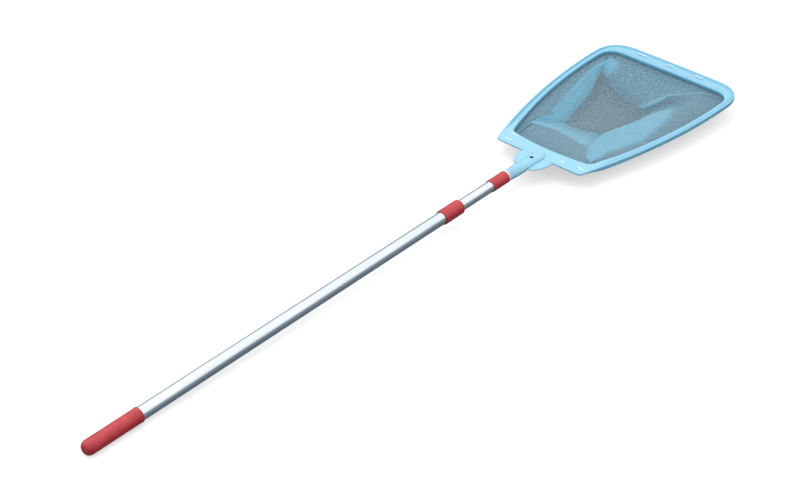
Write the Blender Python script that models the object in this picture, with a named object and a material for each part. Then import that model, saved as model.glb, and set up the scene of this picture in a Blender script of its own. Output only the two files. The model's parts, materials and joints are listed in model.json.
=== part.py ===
"""Leaf skimmer net on a two-section telescopic pole, lying on a floor.

The pieces are modelled in the pole's own frame, in metres: X runs along the pole's axis from the
grip's closed end towards the net, Y is to the left and Z is up. An empty, "pole_frame", then tips
that frame by the small angle at which the grip's end and the net's bag both rest on the floor, and
centres the whole object over the world origin.
"""

import math

import bmesh
import bpy
from mathutils import Vector

GAP = 0.0003

# Pole: two aluminium tubes, 28 mm and 25 mm across with 0.8 mm walls.
OUTER_TUBE_RADIUS = 0.0140
INNER_TUBE_RADIUS = 0.0125
TUBE_WALL = 0.0008
OUTER_TUBE_BORE = OUTER_TUBE_RADIUS - TUBE_WALL
INNER_TUBE_BORE = INNER_TUBE_RADIUS - TUBE_WALL
OUTER_TUBE_START = 0.012
OUTER_TUBE_END = 1.040
INNER_TUBE_START = 0.175
INNER_TUBE_END = 1.202
TUBE_SIDES = 36
NYLON_SIDES = 32
FITTING_SIDES = 24
SCREW_SIDES = 12

# How far a cutter runs past the face that it opens.
CUT_MARGIN = 0.002

# Vinyl grip and the plug in the tube's end.
GRIP_RADIUS = 0.0155
GRIP_LENGTH = 0.134
GRIP_END_FLAT = 0.0060
GRIP_END_ROUND = 0.0125
GRIP_END_THICKNESS = 0.0090
GRIP_BEAD = 0.0006
GRIP_BEAD_LENGTH = 0.004
PLUG_END = 0.034
PLUG_WALL = 0.0025
PLUG_FLOOR = 0.0010

# Red collars at the ends of the two tubes.
LOCK_COLLAR_START = 0.990
LOCK_COLLAR_END = 1.048
LOCK_COLLAR_RADIUS = 0.0165
HEAD_COLLAR_START = 1.151
HEAD_COLLAR_RADIUS = 0.0140
COLLAR_CHAMFER = 0.0009

# Twist lock inside the outer tube: an eccentric pin on the inner tube's plug, in a split ring.
CAM_PIN_END = 0.1495
CAM_PIN_RADIUS = 0.0065
CAM_OFFSET = 0.00035
CAM_FLANGE_START = 0.170
CAM_RING_BORE = 0.0072
CAM_RING_SLOT = 0.003
CAM_SPIGOT_LENGTH = 0.030
CAM_SPIGOT_FLOOR = 0.002
CAM_PILOT_RADIUS = 0.0023
CAM_PILOT_DEPTH = 0.0125
CAM_WASHER_RADIUS = 0.0095
CAM_WASHER_THICKNESS = 0.0015
CAM_SCREW_LENGTH = 0.014
CAM_SCREW_RADIUS = 0.0019
CAM_SCREW_HEAD_RADIUS = 0.0040
CAM_SCREW_HEAD_HEIGHT = 0.0026

# Handle socket: a spigot in the inner tube, a round neck, and a tongue that lies on the frame.
SPIGOT_START = 1.150
SPIGOT_RADIUS = INNER_TUBE_BORE - GAP
SPIGOT_BORE = 0.0085
SPIGOT_BORE_END = 1.237
SOCKET_SHOULDER = 1.207
NECK_RADIUS = 0.01325
TONGUE_HALF_WIDTH = 0.0155
TONGUE_FLARED = 1.245
TONGUE_FLAT_START = 1.261
TONGUE_END = 1.333
TONGUE_END_HEIGHT = 0.0042
SCREW_HOLE_X = 1.294
SCREW_HOLE_RADIUS = 0.00325
SCREW_SEAT = 0.0028
HUB_SCREW_BOTTOM = -0.0085
HUB_SCREW_HEAD_HEIGHT = 0.0020
HUB_PILOT_BOTTOM = -0.010

# Rivet, from below, through the head collar, the inner tube and the spigot.
RIVET_X = 1.178
RIVET_RADIUS = 0.0017
RIVET_HOLE_RADIUS = 0.0020
RIVET_HOLE_TOP = -0.004
RIVET_HEAD_RADIUS = 0.0032
RIVET_HEAD_HEIGHT = 0.0012
RIVET_HEAD_GAP = 0.0001

# Net frame: a channel moulding round the mouth. Its top face is level with the pole's axis.
FRAME_NEAR_X = 1.315
FRAME_FAR_X = 1.851
FRAME_NEAR_HALF = 0.1155
FRAME_FAR_HALF = 0.188
FRAME_RAIL_BOW = 0.025
FRAME_FAR_BOW = 0.003
MOUTH_NEAR_X = 1.364
MOUTH_FAR_X = 1.814
MOUTH_NEAR_HALF = 0.108
MOUTH_FAR_HALF = 0.172
MOUTH_RAIL_BOW = 0.021
MOUTH_NEAR_BOW = 0.010
MOUTH_FAR_BOW = 0.002
FRAME_NEAR_TRIM = 0.009
FRAME_FAR_TRIM = 0.070
MOUTH_NEAR_TRIM = 0.013
MOUTH_FAR_TRIM = 0.040
FLANGE_THICKNESS = 0.0025
SKIRT_THICKNESS = 0.0025
INNER_WALL_THICKNESS = 0.0022
INNER_WALL_DEPTH = 0.0090
NEAR_SKIRT_DEPTH = 0.0040
RAIL_SKIRT_DEPTH = 0.0100
SKIRT_DEEPENS_FROM = 1.325
SKIRT_DEEPENS_TO = 1.385
EDGE_CHAMFER = 0.0011

# Samples along each stretch of an outline: both near and far edges, fillets and rails.
NEAR_SAMPLES = 8
NEAR_FILLET_SAMPLES = 3
RAIL_SAMPLES = 12
FAR_FILLET_SAMPLES = 6
FAR_SAMPLES = 8

# Gusset wings and keel under the tongue, part of the frame.
GUSSET_START = 1.2616
GUSSET_HALF_WIDTH = 0.043
GUSSET_TOP = -0.0012
GUSSET_BOTTOM = -0.0038
LAND_TOP = -0.0002
KEEL_END = 1.338
KEEL_START_RADIUS = 0.0130
KEEL_END_RADIUS = 0.0060
KEEL_TOP = -0.0010

# Below the frame: hem tape in the channel, the bag's flange, and four strips that clamp it.
HEM_INNER = 0.0025
HEM_OUTER = 0.0068
HEM_TOP = -0.0078
HEM_BOTTOM = -0.0090
BAG_FLANGE_TOP = -0.0093
BAG_FLANGE_BOTTOM = -0.0106
BAG_EDGE_INSET = 0.0020
STRIP_INNER = 0.0003
STRIP_OUTER = 0.0132
STRIP_TOP = -0.0109
STRIP_BOTTOM = -0.0134
BOSS_RADIUS = 0.0029
BOSS_BOTTOM = -0.0106
FIXING_LINE = 0.0101
SCREW_SHANK_RADIUS = 0.0012
SCREW_HEAD_RADIUS = 0.0028
SCREW_HEAD_HEIGHT = 0.0017
SCREW_POINT = 0.0008
STRIP_PILOT_TOP = -0.0035
STRIP_SCREW_TOP = -0.0052

# Bag: a shallow dish of mesh, lying collapsed with its floor nearer the left rail.
BAG_THICKNESS = 0.0013
BAG_DROP = 0.048
BAG_REST_X = 1.600
BAG_FLOOR_CORNERS = ((1.520, -0.030), (1.668, -0.052), (1.712, 0.112), (1.492, 0.078))
BAG_FLOOR_TRIM = 0.018
BAG_WALL_RINGS = 4
BAG_FLOOR_RINGS = 2

TILT = math.asin((BAG_DROP - GRIP_RADIUS) / (BAG_REST_X - GRIP_END_ROUND))


def clear_scene():
    for obj in list(bpy.data.objects):
        bpy.data.objects.remove(obj)


def make_material(name, colour, roughness, metallic=0.0):
    material = bpy.data.materials.new(name)
    material.use_nodes = True
    shader = material.node_tree.nodes["Principled BSDF"]
    shader.inputs["Base Color"].default_value = (*colour, 1.0)
    shader.inputs["Roughness"].default_value = roughness
    shader.inputs["Metallic"].default_value = metallic
    return material


def add_solid(name, bm, material, parent):
    """Turns a bmesh into a named object with its faces pointing out, shaded smooth."""
    bmesh.ops.recalc_face_normals(bm, faces=bm.faces)
    mesh = bpy.data.meshes.new(name)
    bm.to_mesh(mesh)
    bm.free()
    mesh.shade_smooth()
    mesh.set_sharp_from_angle(angle=math.radians(32))
    solid = bpy.data.objects.new(name, mesh)
    solid.parent = parent
    if material is not None:
        mesh.materials.append(material)
    bpy.context.scene.collection.objects.link(solid)
    return solid


def add_helper(name, bm, parent):
    helper = add_solid(name, bm, None, parent)
    helper.hide_render = True
    helper.display_type = "WIRE"
    return helper


def combine(solid, helper, operation):
    modifier = solid.modifiers.new(helper.name, "BOOLEAN")
    modifier.operation = operation
    modifier.object = helper
    modifier.solver = "EXACT"


def add_turned(bm, profile, sides, centre=(0.0, 0.0, 0.0), axis="X"):
    """Revolves a closed loop of (distance along the axis, radius) points about an axis at centre."""
    rings = []
    for along, radius in profile:
        angles = [2 * math.pi * step / sides for step in range(sides if radius else 1)]
        ring = []
        for angle in angles:
            across = (radius * math.cos(angle), radius * math.sin(angle))
            offset = (along, *across) if axis == "X" else (*across, along)
            ring.append(bm.verts.new(Vector(centre) + Vector(offset)))
        rings.append(ring)
    for ring, following in zip(rings, rings[1:] + rings[:1]):
        for step in range(sides):
            corners = [
                ring[step % len(ring)],
                ring[(step + 1) % len(ring)],
                following[(step + 1) % len(following)],
                following[step % len(following)],
            ]
            distinct = list(dict.fromkeys(corners))
            if len(distinct) > 2:
                bm.faces.new(distinct)


def turned(name, profile, material, parent, sides=TUBE_SIDES, centre=(0.0, 0.0, 0.0), axis="X"):
    bm = bmesh.new()
    add_turned(bm, profile, sides, centre, axis)
    return add_solid(name, bm, material, parent)


def rod(start, end, radius):
    return [(start, 0.0), (start, radius), (end, radius), (end, 0.0)]


def tube(start, end, radius, bore, chamfer=0.0):
    """A sleeve's loop: its two outer edges are broken by the chamfer."""
    if not chamfer:
        return [(start, bore), (start, radius), (end, radius), (end, bore)]
    return [
        (start, bore),
        (start, radius - chamfer),
        (start + chamfer, radius),
        (end - chamfer, radius),
        (end, radius - chamfer),
        (end, bore),
    ]


def add_loft(bm, rings, closed):
    """Joins rings of points with quads. A closed loft ends where it began; an open one is capped."""
    made = [[bm.verts.new(point) for point in ring] for ring in rings]
    pairs = list(zip(made, made[1:]))
    if closed:
        pairs.append((made[-1], made[0]))
    for ring, following in pairs:
        for step in range(len(ring)):
            after = (step + 1) % len(ring)
            bm.faces.new((ring[step], ring[after], following[after], following[step]))
    if not closed:
        bm.faces.new(made[0])
        bm.faces.new(made[-1])


def add_box(bm, low, high):
    """A box from its lowest corner to its highest."""
    corners = ((low[0], low[1]), (high[0], low[1]), (high[0], high[1]), (low[0], high[1]))
    add_loft(bm, [[(x, y, z) for x, y in corners] for z in (low[2], high[2])], closed=False)


def bowed_point(start, end, bow, share):
    """The point at a share of a shallow arc whose middle stands bow off its chord, to the right."""
    start, end = Vector(start), Vector(end)
    along = end - start
    right = Vector((along.y, -along.x)).normalized()
    return start + along * share + right * bow * 4 * share * (1 - share)


def rounded_outline(corners, bows, trims, samples):
    """A four-cornered outline, anticlockwise, of bowed edges whose corners are rounded.

    Each corner's trim is how far from it the rounding starts on both edges. samples gives the
    number of steps on each edge and on each corner.
    """
    edge_samples, corner_samples = samples
    points = []
    for side in range(4):
        start, end = corners[side], corners[(side + 1) % 4]
        length = (Vector(end) - Vector(start)).length
        first = trims[side] / length
        last = 1 - trims[(side + 1) % 4] / length
        steps = edge_samples[side]
        for step in range(steps + 1):
            share = first + (last - first) * step / steps
            points.append(bowed_point(start, end, bows[side], share))
        following = corners[(side + 2) % 4]
        next_length = (Vector(following) - Vector(end)).length
        next_share = trims[(side + 1) % 4] / next_length
        next_point = bowed_point(end, following, bows[(side + 1) % 4], next_share)
        turn = corner_samples[side]
        for step in range(1, turn):
            share = step / turn
            before = points[-step]
            blend = before * (1 - share) ** 2 + Vector(end) * 2 * share * (1 - share)
            points.append(blend + next_point * share**2)
    return points


def symmetric_corners(near_x, near_half, far_x, far_half):
    """Near right, far right, far left and near left."""
    return ((near_x, -near_half), (far_x, -far_half), (far_x, far_half), (near_x, near_half))


OUTLINE_SAMPLES = (
    (RAIL_SAMPLES, FAR_SAMPLES, RAIL_SAMPLES, NEAR_SAMPLES),
    (FAR_FILLET_SAMPLES, FAR_FILLET_SAMPLES, NEAR_FILLET_SAMPLES, NEAR_FILLET_SAMPLES),
)


def frame_outline():
    corners = symmetric_corners(FRAME_NEAR_X, FRAME_NEAR_HALF, FRAME_FAR_X, FRAME_FAR_HALF)
    bows = (FRAME_RAIL_BOW, FRAME_FAR_BOW, FRAME_RAIL_BOW, 0.0)
    trims = (FRAME_NEAR_TRIM, FRAME_FAR_TRIM, FRAME_FAR_TRIM, FRAME_NEAR_TRIM)
    return rounded_outline(corners, bows, trims, OUTLINE_SAMPLES)


def mouth_outline():
    corners = symmetric_corners(MOUTH_NEAR_X, MOUTH_NEAR_HALF, MOUTH_FAR_X, MOUTH_FAR_HALF)
    bows = (MOUTH_RAIL_BOW, MOUTH_FAR_BOW, MOUTH_RAIL_BOW, MOUTH_NEAR_BOW)
    trims = (MOUTH_NEAR_TRIM, MOUTH_FAR_TRIM, MOUTH_FAR_TRIM, MOUTH_NEAR_TRIM)
    return rounded_outline(corners, bows, trims, OUTLINE_SAMPLES)


def bag_floor_outline():
    trims = (BAG_FLOOR_TRIM,) * 4
    return rounded_outline(BAG_FLOOR_CORNERS, (0.0,) * 4, trims, OUTLINE_SAMPLES)


def smooth_step(value, low, high):
    share = min(max((value - low) / (high - low), 0.0), 1.0)
    return share * share * (3 - 2 * share)


def outward_normals(outline):
    """Unit normals that point out of an anticlockwise outline, one for each of its points."""
    normals = []
    for index in range(len(outline)):
        along = outline[(index + 1) % len(outline)] - outline[index - 1]
        normals.append(Vector((along.y, -along.x)).normalized())
    return normals


class Rim:
    """Matching points round the frame's outside and round its mouth."""

    def __init__(self):
        self.outside = frame_outline()
        self.mouth = mouth_outline()
        self.outside_normals = outward_normals(self.outside)
        self.mouth_normals = outward_normals(self.mouth)
        self.count = len(self.mouth)

    def point(self, index, outward, z):
        """The point that lies outward of the mouth's edge by a distance, at height z."""
        place = self.mouth[index] + self.mouth_normals[index] * outward
        return (place.x, place.y, z)

    def outer_point(self, index, inward, z):
        """The point that lies inside the frame's outer edge by a distance, at height z."""
        place = self.outside[index] - self.outside_normals[index] * inward
        return (place.x, place.y, z)

    def side(self, number):
        """The samples along one side, without its corners: right, far, left, near."""
        first = 0
        for before in range(number):
            first += OUTLINE_SAMPLES[0][before] + OUTLINE_SAMPLES[1][before]
        return range(first, first + OUTLINE_SAMPLES[0][number] + 1)


def frame_section(rim, index):
    """The frame's channel section at one sample: skirt, flange and inner wall."""
    deepening = smooth_step(rim.outside[index].x, SKIRT_DEEPENS_FROM, SKIRT_DEEPENS_TO)
    skirt = NEAR_SKIRT_DEPTH + (RAIL_SKIRT_DEPTH - NEAR_SKIRT_DEPTH) * deepening
    return [
        rim.outer_point(index, 0.0, -skirt),
        rim.outer_point(index, 0.0, -EDGE_CHAMFER),
        rim.outer_point(index, EDGE_CHAMFER, 0.0),
        rim.point(index, EDGE_CHAMFER, 0.0),
        rim.point(index, 0.0, -EDGE_CHAMFER),
        rim.point(index, 0.0, -INNER_WALL_DEPTH),
        rim.point(index, INNER_WALL_THICKNESS, -INNER_WALL_DEPTH),
        rim.point(index, INNER_WALL_THICKNESS, -FLANGE_THICKNESS),
        rim.outer_point(index, SKIRT_THICKNESS, -FLANGE_THICKNESS),
        rim.outer_point(index, SKIRT_THICKNESS, -skirt),
    ]


def gusset_outline():
    """Wings that spread in a convex curve from the tongue's sides to the frame's near edge."""
    half = []
    steps = 6
    for step in range(steps + 1):
        angle = math.pi / 2 * step / steps
        x = GUSSET_START + (FRAME_NEAR_X - GUSSET_START) * (1 - math.cos(angle))
        y = TONGUE_HALF_WIDTH - GAP + (GUSSET_HALF_WIDTH - TONGUE_HALF_WIDTH + GAP) * math.sin(angle)
        half.append((x, y))
    root = FRAME_NEAR_X + SKIRT_THICKNESS / 2
    half.append((root, GUSSET_HALF_WIDTH))
    return half + [(x, -y) for x, y in reversed(half)]


def add_gusset(parent):
    bm = bmesh.new()
    outline = gusset_outline()
    rings = [[(x, y, z) for x, y in outline] for z in (GUSSET_BOTTOM, GUSSET_TOP)]
    add_loft(bm, rings, closed=False)
    return add_helper("gusset_wings", bm, parent)


def add_land(parent):
    """The strip of the frame under the tongue."""
    bm = bmesh.new()
    half = TONGUE_HALF_WIDTH - GAP
    low = (GUSSET_START, -half, GUSSET_BOTTOM + GAP)
    high = (FRAME_NEAR_X + SKIRT_THICKNESS, half, LAND_TOP)
    add_box(bm, low, high)
    return add_helper("tongue_land", bm, parent)


def add_keel(parent):
    """A half-round rib under the tongue, which tapers away beneath the near plate."""
    bm = bmesh.new()
    rings = []
    for x, radius in ((GUSSET_START, KEEL_START_RADIUS), (KEEL_END, KEEL_END_RADIUS)):
        angles = [math.pi * step / 10 for step in range(11)]
        rings.append([(x, radius * math.cos(a), KEEL_TOP - radius * math.sin(a)) for a in angles])
    add_loft(bm, rings, closed=False)
    return add_helper("keel_rib", bm, parent)


def fixing_samples(rim):
    """Where the strips' screws go: the sample numbers on each side."""
    picks = {0: (1, 6, 11), 1: (1, 4, 7), 2: (1, 6, 11), 3: (1, 7)}
    return [(side, rim.side(side)[pick]) for side, chosen in picks.items() for pick in chosen]


def strip_screw_posts(rim, radius, low, high):
    """One upright cylinder at every strip screw."""
    bm = bmesh.new()
    for _, index in fixing_samples(rim):
        centre = rim.point(index, FIXING_LINE, 0.0)
        add_turned(bm, rod(low, high, radius), SCREW_SIDES, centre, "Z")
    return bm


def build_frame(rim, material, parent):
    bm = bmesh.new()
    add_loft(bm, [frame_section(rim, index) for index in range(rim.count)], closed=True)
    frame = add_solid("net_frame", bm, material, parent)
    combine(frame, add_gusset(parent), "UNION")
    combine(frame, add_land(parent), "UNION")
    combine(frame, add_keel(parent), "UNION")
    middle_of_flange = -FLANGE_THICKNESS / 2
    bosses = strip_screw_posts(rim, BOSS_RADIUS, BOSS_BOTTOM, middle_of_flange)
    combine(frame, add_helper("screw_bosses", bosses, parent), "UNION")
    pilot_radius = SCREW_SHANK_RADIUS + GAP
    pilots = strip_screw_posts(rim, pilot_radius, BOSS_BOTTOM - CUT_MARGIN, STRIP_PILOT_TOP)
    hub_pilot = rod(HUB_PILOT_BOTTOM, CUT_MARGIN, SCREW_SHANK_RADIUS + 2 * GAP)
    add_turned(pilots, hub_pilot, SCREW_SIDES, (SCREW_HOLE_X, 0.0, 0.0), "Z")
    combine(frame, add_helper("screw_pilots", pilots, parent), "DIFFERENCE")


def build_strips(rim, material, parent):
    """Four strips clamp the bag's flange and the hem up into the channel."""
    clearance = SCREW_SHANK_RADIUS + 2 * GAP
    posts = strip_screw_posts(rim, clearance, STRIP_BOTTOM - CUT_MARGIN, STRIP_TOP + CUT_MARGIN)
    holes = add_helper("strip_holes", posts, parent)
    for side, name in enumerate(("right", "far", "left", "near")):
        rings = []
        for index in rim.side(side):
            loop = (
                (STRIP_INNER, STRIP_BOTTOM),
                (STRIP_INNER, STRIP_TOP),
                (STRIP_OUTER, STRIP_TOP),
                (STRIP_OUTER, STRIP_BOTTOM),
            )
            rings.append([rim.point(index, outward, z) for outward, z in loop])
        bm = bmesh.new()
        add_loft(bm, rings, closed=False)
        strip = add_solid(f"clamp_strip_{name}", bm, material, parent)
        combine(strip, holes, "DIFFERENCE")


def strip_screw_profile():
    """A screw that points up, from the underside of its head."""
    head_top = STRIP_BOTTOM - GAP
    head_bottom = head_top - SCREW_HEAD_HEIGHT
    return [
        (head_bottom, 0.0),
        (head_bottom, SCREW_HEAD_RADIUS * 0.75),
        (head_bottom + SCREW_HEAD_HEIGHT / 2, SCREW_HEAD_RADIUS),
        (head_top, SCREW_HEAD_RADIUS),
        (head_top, SCREW_SHANK_RADIUS),
        (STRIP_SCREW_TOP, SCREW_SHANK_RADIUS),
        (STRIP_SCREW_TOP + SCREW_POINT, 0.0),
    ]


def build_strip_screws(rim, material, parent):
    for number, (_, index) in enumerate(fixing_samples(rim), start=1):
        centre = rim.point(index, FIXING_LINE, 0.0)
        name = f"strip_screw_{number:02d}"
        turned(name, strip_screw_profile(), material, parent, SCREW_SIDES, centre, "Z")


def build_hem(rim, material, parent):
    loop = (
        (HEM_INNER, HEM_BOTTOM),
        (HEM_INNER, HEM_TOP),
        (HEM_OUTER, HEM_TOP),
        (HEM_OUTER, HEM_BOTTOM),
    )
    rings = [[rim.point(i, outward, z) for outward, z in loop] for i in range(rim.count)]
    bm = bmesh.new()
    add_loft(bm, rings, closed=True)
    add_solid("net_hem", bm, material, parent)


def floor_height(x):
    """The height, in the pole's frame, of the floor that the object lies on."""
    return -(GRIP_RADIUS + (x - GRIP_END_ROUND) * math.sin(TILT)) / math.cos(TILT)


def bag_rings(rim, lift):
    """The bag's surface as rings, from its flange's outer edge to its floor, raised by lift."""
    floor = bag_floor_outline()
    middle = sum(floor, Vector((0.0, 0.0))) / len(floor)
    edge_z = BAG_FLANGE_BOTTOM + lift
    rings = [
        [rim.point(index, outward, edge_z) for index in range(rim.count)]
        for outward in (HEM_OUTER, -BAG_EDGE_INSET)
    ]
    for ring in range(1, BAG_WALL_RINGS + 1):
        share = ring / BAG_WALL_RINGS
        drop = math.sin(share * math.pi / 2) ** 1.15
        points = []
        for index in range(rim.count):
            edge = Vector(rim.point(index, -BAG_EDGE_INSET, 0.0)[:2])
            place = edge.lerp(floor[index], share)
            low = floor_height(place.x) + lift - (BAG_FLANGE_TOP - BAG_FLANGE_BOTTOM - BAG_THICKNESS)
            points.append((place.x, place.y, edge_z + (low - edge_z) * drop))
        rings.append(points)
    for ring in range(1, BAG_FLOOR_RINGS + 1):
        share = 0.8 * ring / BAG_FLOOR_RINGS
        points = []
        for index in range(rim.count):
            place = floor[index].lerp(middle, share)
            points.append((place.x, place.y, floor_height(place.x) + lift))
        rings.append(points)
    return rings


def build_bag(rim, material, parent):
    """A thin closed shell, open at the top: its underside and inside meet at the flange's edge."""
    bm = bmesh.new()
    underside = bag_rings(rim, 0.0)
    inside = bag_rings(rim, BAG_THICKNESS)
    add_loft(bm, list(reversed(underside)) + inside, closed=False)
    add_solid("net_bag", bm, material, parent)


def tongue_half_width(x):
    flare = smooth_step(x, SOCKET_SHOULDER, TONGUE_FLARED)
    half = NECK_RADIUS + (TONGUE_HALF_WIDTH - NECK_RADIUS) * flare
    into_end = x - (TONGUE_END - TONGUE_HALF_WIDTH)
    if into_end > 0:
        half = math.sqrt(max(TONGUE_HALF_WIDTH**2 - into_end**2, 0.0))
    return half


def tongue_top(x):
    """The tongue's top falls from the neck's radius to a low step on the plate."""
    fall = smooth_step(x, SOCKET_SHOULDER - 0.02, TONGUE_END + 0.02)
    return NECK_RADIUS + (TONGUE_END_HEIGHT - NECK_RADIUS) * fall


def tongue_section(x, points=28):
    half, top = tongue_half_width(x), tongue_top(x)
    ring = []
    for step in range(points):
        angle = 2 * math.pi * step / points
        across, up = math.cos(angle), math.sin(angle)
        squareness = 0.5 + 0.35 * (1 - smooth_step(x, SOCKET_SHOULDER, TONGUE_END))
        height = top * math.copysign(abs(up) ** (2 * squareness if up > 0 else 1.0), up)
        if up < 0:
            height = NECK_RADIUS * up
        ring.append((x, half * across, height))
    return ring


def build_socket(material, parent):
    straight_end = TONGUE_END - TONGUE_HALF_WIDTH
    stations = [SOCKET_SHOULDER + (straight_end - SOCKET_SHOULDER) * step / 8 for step in range(9)]
    for step in range(1, 7):
        angle = math.pi / 2 * step / 6.4
        stations.append(straight_end + TONGUE_HALF_WIDTH * math.sin(angle))
    bm = bmesh.new()
    add_loft(bm, [tongue_section(x) for x in stations], closed=False)
    socket = add_solid("handle_socket", bm, material, parent)

    bm = bmesh.new()
    add_turned(bm, rod(SPIGOT_START, SOCKET_SHOULDER + 0.004, SPIGOT_RADIUS), NYLON_SIDES)
    combine(socket, add_helper("spigot", bm, parent), "UNION")

    bm = bmesh.new()
    add_turned(bm, rod(SPIGOT_START - 0.005, SPIGOT_BORE_END, SPIGOT_BORE), FITTING_SIDES)
    combine(socket, add_helper("spigot_bore", bm, parent), "DIFFERENCE")

    bm = bmesh.new()
    add_box(bm, (TONGUE_FLAT_START, -0.03, -0.03), (TONGUE_END + 0.01, 0.03, GAP))
    combine(socket, add_helper("tongue_underside", bm, parent), "DIFFERENCE")
    combine(socket, hub_screw_hole(parent), "DIFFERENCE")
    combine(socket, rivet_hole("spigot_rivet_hole", parent), "DIFFERENCE")


def hub_screw_hole(parent):
    """A clearance hole whose wider upper part takes the screw's head."""
    hole = [
        (-0.004, 0.0),
        (-0.004, SCREW_SHANK_RADIUS + 2 * GAP),
        (SCREW_SEAT, SCREW_SHANK_RADIUS + 2 * GAP),
        (SCREW_SEAT, SCREW_HOLE_RADIUS),
        (0.02, SCREW_HOLE_RADIUS),
        (0.02, 0.0),
    ]
    bm = bmesh.new()
    add_turned(bm, hole, 16, (SCREW_HOLE_X, 0.0, 0.0), "Z")
    return add_helper("hub_screw_hole", bm, parent)


def build_hub_screw(material, parent):
    head_bottom = SCREW_SEAT + GAP
    head_top = head_bottom + HUB_SCREW_HEAD_HEIGHT
    profile = [
        (HUB_SCREW_BOTTOM, 0.0),
        (HUB_SCREW_BOTTOM + 0.0005, SCREW_SHANK_RADIUS),
        (head_bottom, SCREW_SHANK_RADIUS),
        (head_bottom, SCREW_HEAD_RADIUS),
        (head_top, SCREW_HEAD_RADIUS * 0.8),
        (head_top, 0.0),
    ]
    turned("hub_screw", profile, material, parent, SCREW_SIDES, (SCREW_HOLE_X, 0.0, 0.0), "Z")


def rivet_hole(name, parent):
    bm = bmesh.new()
    hole = rod(-0.02, RIVET_HOLE_TOP, RIVET_HOLE_RADIUS)
    add_turned(bm, hole, SCREW_SIDES, (RIVET_X, 0.0, 0.0), "Z")
    return add_helper(name, bm, parent)


def build_head_rivet(material, parent):
    head_top = -HEAD_COLLAR_RADIUS - RIVET_HEAD_GAP
    head_bottom = head_top - RIVET_HEAD_HEIGHT
    shank_top = -SPIGOT_BORE + 0.0010
    profile = [
        (head_bottom, 0.0),
        (head_bottom + 0.0002, RIVET_HEAD_RADIUS - 0.0010),
        (head_top, RIVET_HEAD_RADIUS),
        (head_top, RIVET_RADIUS),
        (shank_top, RIVET_RADIUS),
        (shank_top, 0.0),
    ]
    turned("head_rivet", profile, material, parent, SCREW_SIDES, (RIVET_X, 0.0, 0.0), "Z")


def build_grip(material, parent):
    """A dipped vinyl cup with a domed end and a bead round its mouth."""
    profile = [(0.0, 0.0), (0.0, GRIP_END_FLAT)]
    for step in range(1, 7):
        angle = math.pi / 2 * step / 6
        along = GRIP_END_ROUND * (1 - math.cos(angle))
        profile.append((along, GRIP_END_FLAT + (GRIP_RADIUS - GRIP_END_FLAT) * math.sin(angle)))
    profile += [
        (GRIP_LENGTH - GRIP_BEAD_LENGTH, GRIP_RADIUS),
        (GRIP_LENGTH - GRIP_BEAD_LENGTH / 2, GRIP_RADIUS + GRIP_BEAD),
        (GRIP_LENGTH, GRIP_RADIUS),
        (GRIP_LENGTH, OUTER_TUBE_RADIUS + GAP),
        (GRIP_END_THICKNESS, OUTER_TUBE_RADIUS + GAP),
        (GRIP_END_THICKNESS, 0.0),
    ]
    turned("grip", profile, material, parent)


def build_outer_pole(materials, parent):
    build_grip(materials["red_vinyl"], parent)
    flange_start = GRIP_END_THICKNESS + GAP
    flange_end = OUTER_TUBE_START - GAP
    profile = [
        (flange_start, 0.0),
        (flange_start, OUTER_TUBE_RADIUS),
        (flange_end, OUTER_TUBE_RADIUS),
        (flange_end, OUTER_TUBE_BORE - GAP),
        (PLUG_END, OUTER_TUBE_BORE - GAP),
        (PLUG_END, OUTER_TUBE_BORE - PLUG_WALL),
        (flange_end + PLUG_FLOOR, OUTER_TUBE_BORE - PLUG_WALL),
        (flange_end + PLUG_FLOOR, 0.0),
    ]
    turned("outer_tube_plug", profile, materials["white_nylon"], parent)

    profile = tube(OUTER_TUBE_START, OUTER_TUBE_END, OUTER_TUBE_RADIUS, OUTER_TUBE_BORE)
    turned("outer_tube", profile, materials["aluminium"], parent)

    lip_start = OUTER_TUBE_END + GAP
    bore = OUTER_TUBE_RADIUS + GAP
    profile = tube(LOCK_COLLAR_START, LOCK_COLLAR_END, LOCK_COLLAR_RADIUS, bore, COLLAR_CHAMFER)
    profile[-1:] = [
        (LOCK_COLLAR_END, INNER_TUBE_RADIUS + GAP),
        (lip_start, INNER_TUBE_RADIUS + GAP),
        (lip_start, bore),
    ]
    turned("lock_collar", profile, materials["red_vinyl"], parent)


def build_inner_pole(materials, parent):
    profile = tube(INNER_TUBE_START, INNER_TUBE_END, INNER_TUBE_RADIUS, INNER_TUBE_BORE)
    inner_tube = turned("inner_tube", profile, materials["aluminium"], parent)
    combine(inner_tube, rivet_hole("tube_rivet_hole", parent), "DIFFERENCE")

    bore = INNER_TUBE_RADIUS + GAP
    profile = tube(HEAD_COLLAR_START, INNER_TUBE_END, HEAD_COLLAR_RADIUS, bore, COLLAR_CHAMFER)
    head_collar = turned("head_collar", profile, materials["red_vinyl"], parent)
    combine(head_collar, rivet_hole("collar_rivet_hole", parent), "DIFFERENCE")

    ring_start = INNER_TUBE_END + GAP
    ring_end = SOCKET_SHOULDER - GAP
    profile = tube(ring_start, ring_end, NECK_RADIUS + GAP, INNER_TUBE_BORE, GAP)
    turned("socket_ring", profile, materials["white_nylon"], parent)
    build_head_rivet(materials["steel"], parent)


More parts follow.
